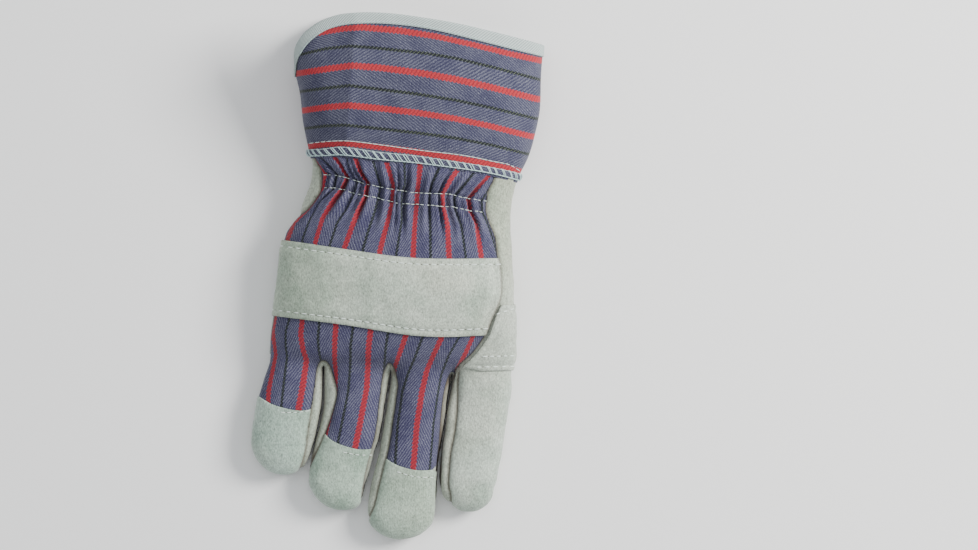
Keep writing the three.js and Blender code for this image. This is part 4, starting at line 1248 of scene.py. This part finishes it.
def layer_piece(name, field_of, nodes, material, thickness, raw_edge=None):
    """A second layer on the same skin."""
    columns, tri = clip(SKIN, faces, field_of(*SKIN[:, 6:9].T))
    plain_form, rest, normal = columns[:, 3:6], columns[:, 6:9], columns[:, 9:12]
    edge = np.maximum(field_of(*rest.T), 0)
    height = thickness + LAYER_LIFT - ROLLED_EDGE * bell(edge, EDGE_WIDTH)
    height -= STITCH_DIP * bell(edge - STITCH_INSET, DIP_WIDTH)
    height += SWELL * bell(edge - STITCH_INSET * SWELL_AT, SWELL_WIDTH)
    points = plain_form + normal * height[:, None]
    surfaces[name] = (points, tri)
    seams_edges_and_shade = 0.35 * bell(edge, 0.35)
    if raw_edge is not None:
        seams_edges_and_shade = np.maximum(seams_edges_and_shade, 0.9 * bell(line_distance(rest[:, 0], rest[:, 1], raw_edge), 0.75))
    piece(name, *shell(points, tri, thickness), material, "suede", nodes, seam_and_shade=double(seams_edges_and_shade))


first, second = STRAP_CORNERS
strap_lower = line(STRAP[first:second + 1])
strap_outline = np.vstack([line(STRAP[:first + 1]), strap_lower, line(STRAP[second:])])
patch_band = np.vstack([PATCH_TOP, PATCH_BOTTOM[::-1]])
patch_side = np.vstack([line(INDEX_SIDE_SEAM) + np.array([PATCH_PAST_SEAM, 0]), [(95, -60), (95, 70)]])


def strap_field(x, y, z):
    return np.minimum(outline_field(x, y, strap_outline), z - parting(x, y) + 0.5)


def patch_field(x, y, z):
    lower = parting(x, y) - z
    return np.minimum(outline_field(x, y, patch_band), np.maximum(lower, outline_field(x, y, patch_side)))


layer_piece("strap_leather", strap_field, ["knuckle_strap"], STRAP_LEATHER, STRAP_THICK, strap_lower)
layer_piece("patch_leather", patch_field, ["palm_patch"], LEATHER, PATCH_THICK)

# The thumb is a tube of its own that meets the palm at the ball of the thumb
thumb, thumb_faces = union_skin([closed_mesh(thumb_rings())], THUMB_VOXEL)
thumb = relax(thumb, thumb_faces, THUMB_RELAXED)
creases = THUMB_CREASES * rough(thumb, THUMB_CREASE_SIZE, SEED + 5) * smooth((thumb[:, 2] - 0.4) / 2)
skin_tree = BVHTree.FromPolygons((skin - skin_normals * 0.3).tolist(), faces.tolist())
outside = []
for p in thumb:
    spot, direction, _, _ = skin_tree.find_nearest(Vector(p))
    outside.append((Vector(p) - spot).dot(direction))
thumb_columns = np.hstack([thumb + normals_of(thumb, thumb_faces) * creases[:, None], np.array(outside)[:, None]])
thumb_columns, thumb_cut = clip(thumb_columns, thumb_faces, thumb_columns[:, 3] + THUMB_TUCKED)
surfaces["thumb_leather"] = (thumb_columns[:, :3], thumb_cut)
# Darker where the thumb meets the palm: the join there, and painted shade in its fold
piece("thumb_leather", *shell(*surfaces["thumb_leather"], WALL), PALM_LEATHER, "suede", ["thumb"],
      seam_and_shade=double(bell(thumb_columns[:, 3], 0.8)))

# The cuff, with shade painted into its colour left of its crease
cuff_x, cuff_y, cuff_z = cuff_outer.reshape(-1, 3).T
cuff_uv = np.stack([cuff_stripes_at(cuff_x, cuff_y), round_from_middle(cuff_outer).ravel()], axis=1)
surfaces["cuff_canvas"] = (cuff_skin.reshape(-1, 3), strip_faces(*cuff_skin.shape[:2]))
crease_left = CREASE[0] + CREASE[1] * (cuff_y - CREASE[2]) - cuff_x
painted_crease_shade = 0.2 * np.where(crease_left > 0, np.exp(-crease_left / 14), 0) * (cuff_z > 20)
piece("cuff_canvas", *walled(cuff_skin, cuff_normals, WALL), CUFF_CLOTH, "canvas", ["cuff"], double(cuff_uv),
      seam_and_shade=double(painted_crease_shade))

# Tape folded over the rim
leg, leg_normal = cuff_soft(along_cuff(rim, rim_inner, TAPE_ROWS))
ahead = leg[0] - leg[2]
ahead /= np.linalg.norm(ahead, axis=1)[:, None]
rim_middle = leg[0] - leg_normal[0] * WALL / 2
radius = WALL / 2 + TAPE_PROUD


def tape_leg(order, height):
    return [leg[k] + leg_normal[k] * height for k in order]


up_leg, down_leg = range(TAPE_ROWS - 1, 0, -1), range(1, TAPE_ROWS)
profile = tape_leg(up_leg, TAPE_PROUD)
for k in range(TAPE_BEND + 1):
    turn = math.pi * k / TAPE_BEND
    profile.append(rim_middle + leg_normal[0] * radius * math.cos(turn) + ahead * radius * 0.8 * math.sin(turn))
profile += tape_leg(down_leg, -(WALL + TAPE_PROUD)) + tape_leg(up_leg, -(WALL + TAPE_PROUD - TAPE_THICK))
profile += tape_leg(down_leg, TAPE_PROUD - TAPE_THICK)
surfaces["cuff_tape"] = tube_from(profile)
girth = way_along(leg[0])
tape_uv = np.array([[at, 0.85 * i] for i in range(len(profile)) for at in girth])
piece("cuff_tape", *surfaces["cuff_tape"], TAPE, "binding", ["cuff_binding"], tape_uv, "band")

# The overlocked seam that joins cuff and hand: a rounded band with threads whipped over it
band, band_normal = cuff_soft(along_cuff(seam_upper, seam_lower, BAND_ROWS))
bulge = BAND_RISE + BAND_SWELL * np.sin(np.linspace(0, math.pi, BAND_ROWS)) ** 0.6
band = band + band_normal * bulge[:, None, None]
made, quads = walled(band, band_normal, BAND_THICK)
band_uv = np.stack([np.repeat(np.linspace(0.3, 0.7, BAND_ROWS), around), np.tile(girth, BAND_ROWS)], axis=1)
piece("seam_band", made, quads, CUFF_CLOTH, "overlock", ["cuff_seam"], double(band_uv), seam_and_shade=np.zeros(len(made)))


# The tab on the palm side, which lies over the seam and the cuff
def tab_outline():
    points = [(TAB["left"], TAB["bottom"]), (TAB["right"], TAB["bottom"])]
    corner = TAB["corner"]
    for centre, start in ((TAB["right"] - corner, 0), (TAB["left"] + corner, math.pi / 2)):
        for step in range(9):
            turn = start + math.pi / 2 * step / 8
            points.append((centre + corner * math.cos(turn), TAB["top"] - corner + corner * math.sin(turn)))
    return np.array([(x, y + TAB["skew"] * x) for x, y in points])


wrist_grid = np.array(sleeve_rings(curve_rows(SLEEVE[2:9], WRIST_STEPS), WRIST_COUNTS))
wrist_points = wrist_grid.reshape(-1, 3)
wrist_faces = strip_faces(*wrist_grid.shape[:2])
wrist_faces = np.vstack([wrist_faces[:, [0, 1, 2]], wrist_faces[:, [0, 2, 3]]])
wrist_normal = normals_of(wrist_points, wrist_faces)
if (wrist_normal[:, 2] * (wrist_points[:, 2] - 15)).sum() < 0:
    wrist_faces, wrist_normal = wrist_faces[:, ::-1], -wrist_normal
x, y, z = wrist_points.T
tab, tab_faces = clip(np.hstack([wrist_points, wrist_normal]), wrist_faces,
                      np.minimum(outline_field(x, y, tab_outline()), parting(x, y) - z))
edge = np.maximum(outline_field(tab[:, 0], tab[:, 1], tab_outline()), 0)
tab_height = TAB_HEIGHT - 0.4 * bell(edge, 0.7) - 0.35 * bell(edge - TAB_INSET, 0.8)
tab_skin = tab[:, :3] + tab[:, 3:6] * tab_height[:, None]
tab_skin[:, 2] = np.maximum(tab_skin[:, 2], 0.1)
surfaces["tab_leather"] = (tab_skin, tab_faces)
made, tri = shell(tab_skin, tab_faces, TAB_THICK)
piece("tab_leather", made, tri, PALM_LEATHER, "suede", ["pulse_tab"], seam_and_shade=np.zeros(len(made)))

# Stitches

THREAD_SIDES, THREAD_RINGS = 8, 6
SCATTER = 0.15
HOLE_SIZE = (0.75, 0.55)
WHIP_PITCH, WHIP_LEAN, WHIP_PARTS = 4.2, -3.4, 3
CHAIN_PITCH, CHAIN_LENGTH = 2.2, 2.5


def stitch_group():
    """Puts one short length of thread on each point, along its aim and flat on the surface."""
    net, given, end = new_group("thread_on_points", "GeometryNodeTree", [
        ("Geometry", "Geometry"), ("Length", "Float", 0.003), ("Width", "Float", 0.0008),
        ("Scatter", "Float", SCATTER), ("Seed", "Int", SEED), ("Thread", "Material"),
    ], [("Geometry", "Geometry")])
    thread = net.add("GeometryNodeMeshUVSphere",
                     {"Segments": THREAD_SIDES, "Rings": THREAD_RINGS, "Radius": 0.5}, "Mesh")
    thread = net.add("GeometryNodeTransform", {"Geometry": thread, "Rotation": (0, math.pi / 2, 0)}, "Geometry")
    aim, up = (net.add("GeometryNodeInputNamedAttribute", {"Name": label}, "Attribute", data_type="FLOAT_VECTOR")
               for label in ("aim", "up"))
    turn = net.add("FunctionNodeAlignRotationToVector", {"Vector": aim}, "Rotation", axis="X")
    turn = net.add("FunctionNodeAlignRotationToVector", {"Rotation": turn, "Vector": up}, "Rotation",
                   axis="Z", pivot_axis="X")
    chance = net.add("FunctionNodeRandomValue",
                     {2: 1.0 - given["Scatter"], 3: given["Scatter"] + 1.0, "Seed": given["Seed"]}, 1,
                     data_type="FLOAT")
    width = given["Width"]
    size = net.add("ShaderNodeCombineXYZ", enumerate((given["Length"] * chance, width, width)))
    made = net.add("GeometryNodeInstanceOnPoints", {
        "Points": given["Geometry"], "Instance": thread, "Rotation": turn, "Scale": size,
    }, "Instances")
    for kind in ("GeometryNodeRealizeInstances", "GeometryNodeSetShadeSmooth"):
        made = net.add(kind, {"Geometry": made}, "Geometry")
    made = net.add("GeometryNodeSetMaterial", {"Geometry": made, "Material": given["Thread"]}, "Geometry")
    net.join(made, end["Geometry"])
    return net.tree


THREADS = stitch_group()
trees = {}


def sewn(name, spots, aims, ups, length, width, material, slot, scatter=SCATTER):
    """A row of stitches as one plain mesh."""
    mesh = bpy.data.meshes.new(name + "_points")
    mesh.from_pydata((np.asarray(spots) * MM).tolist(), [], [])
    for label, values in (("aim", aims), ("up", ups)):
        mesh.attributes.new(label, "FLOAT_VECTOR", "POINT").data.foreach_set(
            "vector", np.asarray(values, np.float32).ravel())
    source = placed(name + "_points", mesh)
    modifier = source.modifiers.new("thread", "NODES")
    modifier.node_group = THREADS
    given = {item.name: item.identifier for item in THREADS.interface.items_tree if item.in_out == "INPUT"}
    for label, value in (("Length", length * MM), ("Width", width * MM), ("Scatter", scatter), ("Seed", SEED),
                         ("Thread", material)):
        modifier[given[label]] = value
    done = bpy.data.meshes.new_from_object(source.evaluated_get(bpy.context.evaluated_depsgraph_get()))
    bpy.data.objects.remove(source)
    done.name = name
    riding(placed(name, done))


def on_surface(name, points, pitch, lift, from_above):
    """Spots at an even pitch along a line drawn in plan, dropped on to a piece, with their directions."""
    if name not in trees:
        trees[name] = BVHTree.FromPolygons(*(part.tolist() for part in surfaces[name]))
    high, down = (90, -1) if from_above else (-20, 1)
    spots, ups = [], []
    for x, y in spread(points, max(2, int(step_lengths(points).sum() / pitch) + 1)):
        hit, normal, _, _ = trees[name].ray_cast(Vector((x, y, high)), Vector((0, 0, down)))
        if hit is None:
            continue
        if normal.z * down > 0:
            normal = -normal
        spots.append(np.array(hit) + np.array(normal) * lift)
        ups.append(np.array(normal))
    return np.array(spots), np.array(ups)


def running(name, piece_name, rows, pitch=3.4, length=2.6, width=0.6, from_above=True, material=LEATHER_THREAD,
            lift=0.12, pierced=True):
    """Rows of running stitches, with the needle holes between them where they show."""
    spots, aims, ups = [], [], []
    holes, hole_aims, hole_ups = [], [], []
    for row in rows:
        s, u = on_surface(piece_name, line(row), pitch, lift, from_above)
        if len(s) < 3:
            continue
        a = np.gradient(s, axis=0)
        spots.append(s), aims.append(a), ups.append(u)
        holes.append((s[:-1] + s[1:]) / 2 - (u[:-1] + u[1:]) / 2 * (lift + 0.02))
        hole_aims.append(a[:-1]), hole_ups.append(u[:-1])
    sewn(name, np.vstack(spots), np.vstack(aims), np.vstack(ups), length, width, material, "binding")
    if pierced:
        sewn(name + "_holes", np.vstack(holes), np.vstack(hole_aims), np.vstack(hole_ups), *HOLE_SIZE, HOLE, "suede")


def inset(points, distance):
    """The line moved to its left by a distance."""
    points = np.asarray(points, float)
    along = np.gradient(points, axis=0)
    along /= np.linalg.norm(along, axis=1)[:, None]
    return points + np.stack([-along[:, 1], along[:, 0]], axis=1) * distance


running("strap_stitches", "strap_leather",
        [inset(STRAP[1:first + 1], -STITCH_INSET), inset(STRAP[second:second + 4], -STITCH_INSET)],
        pitch=4.0, length=2.8, width=0.55)
running("shirring_stitches", "back_canvas", [plan(row) for row in SHIRRING],
        pitch=2.5, length=2.2, width=0.42, lift=0.3, material=WHITE_THREAD)
for finger, row in CAP_STITCHES.items():
    running("cap_stitches_" + finger, finger + "_cap", [plan(row)], pitch=3.0, length=2.3, width=0.45)
running("patch_stitches", "patch_leather", [plan(row) for row in PATCH_STITCHES], width=0.55)
running("cuff_stitches", "cuff_canvas", [plan(CUFF_STITCHES)],
        pitch=2.9, length=3.3, width=0.42, lift=0.15, material=WHITE_THREAD)
tape_row = [p for p in moved(RIM_INNER_LINE, 0.8) if -49.5 < p[0] < 73]
running("tape_stitches", "cuff_tape", [tape_row],
        pitch=2.6, length=2.8, width=0.4, material=PALE_THREAD, pierced=False)

tab_edge = inset(tab_outline()[1:], TAB_INSET)
tab_rows = [[(x, TAB["top"] - down + TAB["skew"] * x) for x in (-19, 8, 34)] for down in (24, 29)]
running("tab_stitches", "tab_leather", [tab_edge[tab_edge[:, 1] > TAB["bottom"] + 2], *tab_rows], from_above=False)
running("patch_palm_stitches", "patch_leather",
        [[(x, level(edge, x) + step) for x in range(-54, 56, 6)]
         for edge, step in ((PATCH_TOP, -3), (PATCH_TOP, -7), (PATCH_BOTTOM, 3), (PATCH_BOTTOM, 7))],
        from_above=False)

# Threads whipped over the seam, with a chain along each edge
band_girth = way_along(band[BAND_ROWS // 2])
band_up = band_normal[BAND_ROWS // 2]
chance = np.random.default_rng(SEED)
count = int(band_girth[-1] / WHIP_PITCH)
whip_places = (np.arange(count) + chance.uniform(-0.1, 0.1, count)) * WHIP_PITCH
whip_places = np.concatenate([whip_places, whip_places + chance.uniform(0.35, 1.5, count)])
where = np.interp(np.clip(whip_places, 0, band_girth[-1]), band_girth, np.arange(around))


def ring_at(ring, at):
    i = np.floor(at).astype(int)
    return lerp(ring[i % around], ring[(i + 1) % around], (at - i)[:, None])


# Each whipped thread is three short lengths that follow the band's rounded top
lean = around * WHIP_LEAN / band_girth[-1]
whips, whip_aims = [], []
up = ring_at(band_up, where + lean / 2)
for part in range(WHIP_PARTS):
    a, b = (ring_at(band[k * (BAND_ROWS - 1) // WHIP_PARTS], where + lean * k / WHIP_PARTS) for k in (part, part + 1))
    whips.append((a + b) / 2 + up * 0.2), whip_aims.append(b - a)
reach = float(np.linalg.norm(np.vstack(whip_aims), axis=1).mean())
sewn("whip_stitches", np.vstack(whips), np.vstack(whip_aims), np.vstack([up] * WHIP_PARTS), reach * 1.5, 0.55,
     PALE_THREAD, "overlock", 0.06)
at = np.linspace(0, band_girth[-1], int(band_girth[-1] / CHAIN_PITCH), endpoint=False)
at = np.interp(at, band_girth, np.arange(around))
up = ring_at(band_up, at)
for name, row, width in (("chain_upper", 0, 0.36), ("chain_lower", -1, 0.7)):
    spots = ring_at(band[row], at) + up * 0.25
    sewn(name, spots, np.roll(spots, -1, axis=0) - spots, up, CHAIN_LENGTH, width, PALE_THREAD, "overlock", 0.1)

# What is soft

# Each sheet as it was cut: width and length in mm, how it is held, what it lies on and what is sewn to it
SHEETS = {
    "back_canvas": (150, 175, "gathered", ["palm_leather"], ["shirring_stitches"]),
    "palm_leather": (215, 230, "laid", ["surface"], []),
    "index_leather": (45, 180, "folded", ["palm_leather"], []),
    "little_cap": (45, 42, "folded", ["palm_leather"], ["cap_stitches_little"]),
    "ring_cap": (43, 42, "folded", ["palm_leather"], ["cap_stitches_ring"]),
    "middle_cap": (47, 44, "folded", ["palm_leather"], ["cap_stitches_middle"]),
    "strap_leather": (135, 44, "laid", ["back_canvas"], ["strap_stitches"]),
    "patch_leather": (160, 48, "laid", ["palm_leather"], ["patch_stitches", "patch_palm_stitches"]),
    "thumb_leather": (85, 100, "folded", ["surface"], []),
    "tab_leather": (62, 36, "laid", ["palm_leather"], ["tab_stitches"]),
    "cuff_canvas": (290, 82, "folded", ["surface"], ["cuff_stitches"]),
    "cuff_tape": (290, 14.5, "folded", ["cuff_canvas"], ["tape_stitches"]),
}
CLOSED = ("cuff_tape",)


def cut_area(name):
    points, sides = surfaces[name]
    sides = np.asarray(sides)
    corners = [(0, 1, 2)] if sides.shape[1] == 3 else [(0, 1, 2), (0, 2, 3)]
    area = 0
    for three in corners:
        a, b, c = (points[sides[:, k]] for k in three)
        area += np.linalg.norm(np.cross(b - a, c - a), axis=1).sum() / 2
    return float(area) * MM * MM / (2 if name in CLOSED else 1)


on_cuff = ["seam_band", "whip_stitches", "chain_upper", "chain_lower"]
for name, (width, length, held, lies_on, rows) in SHEETS.items():
    sewn_on = [row + end for row in rows for end in ("", "_holes") if row + end in bpy.data.objects]
    sewn_on += on_cuff if name == "cuff_canvas" else []
    cut_area(name)

# Surface, light and camera

# In metres from here on
REACH = 4
floor_mesh = bpy.data.meshes.new("surface")
floor_mesh.from_pydata([(-REACH, -REACH, 0), (REACH, -REACH, 0), (REACH, REACH, 0), (-REACH, REACH, 0)], [],
                       [(0, 1, 2, 3)])
floor = placed("surface", floor_mesh)
floor_mesh.materials.append(thread_finish("paper", (0.92, 0.92, 0.92), 0.95))

world = bpy.data.worlds.new("room")
bpy.context.scene.world = world
world.use_nodes = True
world.node_tree.nodes["Background"].inputs["Color"].default_value = (0.94, 0.97, 1.0, 1)
world.node_tree.nodes["Background"].inputs["Strength"].default_value = 0.68


def soft_light(name, place, size, power, colour):
    """A square light that points at the glove's middle."""
    data = bpy.data.lights.new(name, "AREA")
    data.size, data.energy, data.color = size, power, colour
    ob = placed(name, data)
    ob.location = place
    ob.rotation_mode = "QUATERNION"
    ob.rotation_quaternion = (-Vector(place)).to_track_quat("-Z", "Y")


soft_light("window", (1.15, 0.45, 0.9), 0.6, 41, (1.0, 0.985, 0.96))
soft_light("ceiling", (-0.2, 0.3, 1.7), 1.2, 6, (1, 1, 1))

# The camera looks straight down from so far that it sees the glove as the picture does
LENS, SENSOR = 600, 36
CLEAR_VIEW = 20
MEAN_HEIGHT = 0.02
distance = PICTURE_SIZE[0] * MM * PICTURE_SCALE * LENS / SENSOR
camera = placed("camera", bpy.data.cameras.new("camera"))
camera.data.lens, camera.data.sensor_width = LENS, SENSOR
camera.data.clip_end = CLEAR_VIEW
camera.location = ((PICTURE_SIZE[0] / 2 - PICTURE_MIDDLE[0]) * PICTURE_SCALE * MM,
                   (PICTURE_MIDDLE[1] - PICTURE_SIZE[1] / 2) * PICTURE_SCALE * MM, distance + MEAN_HEIGHT)
bpy.context.scene.camera = camera
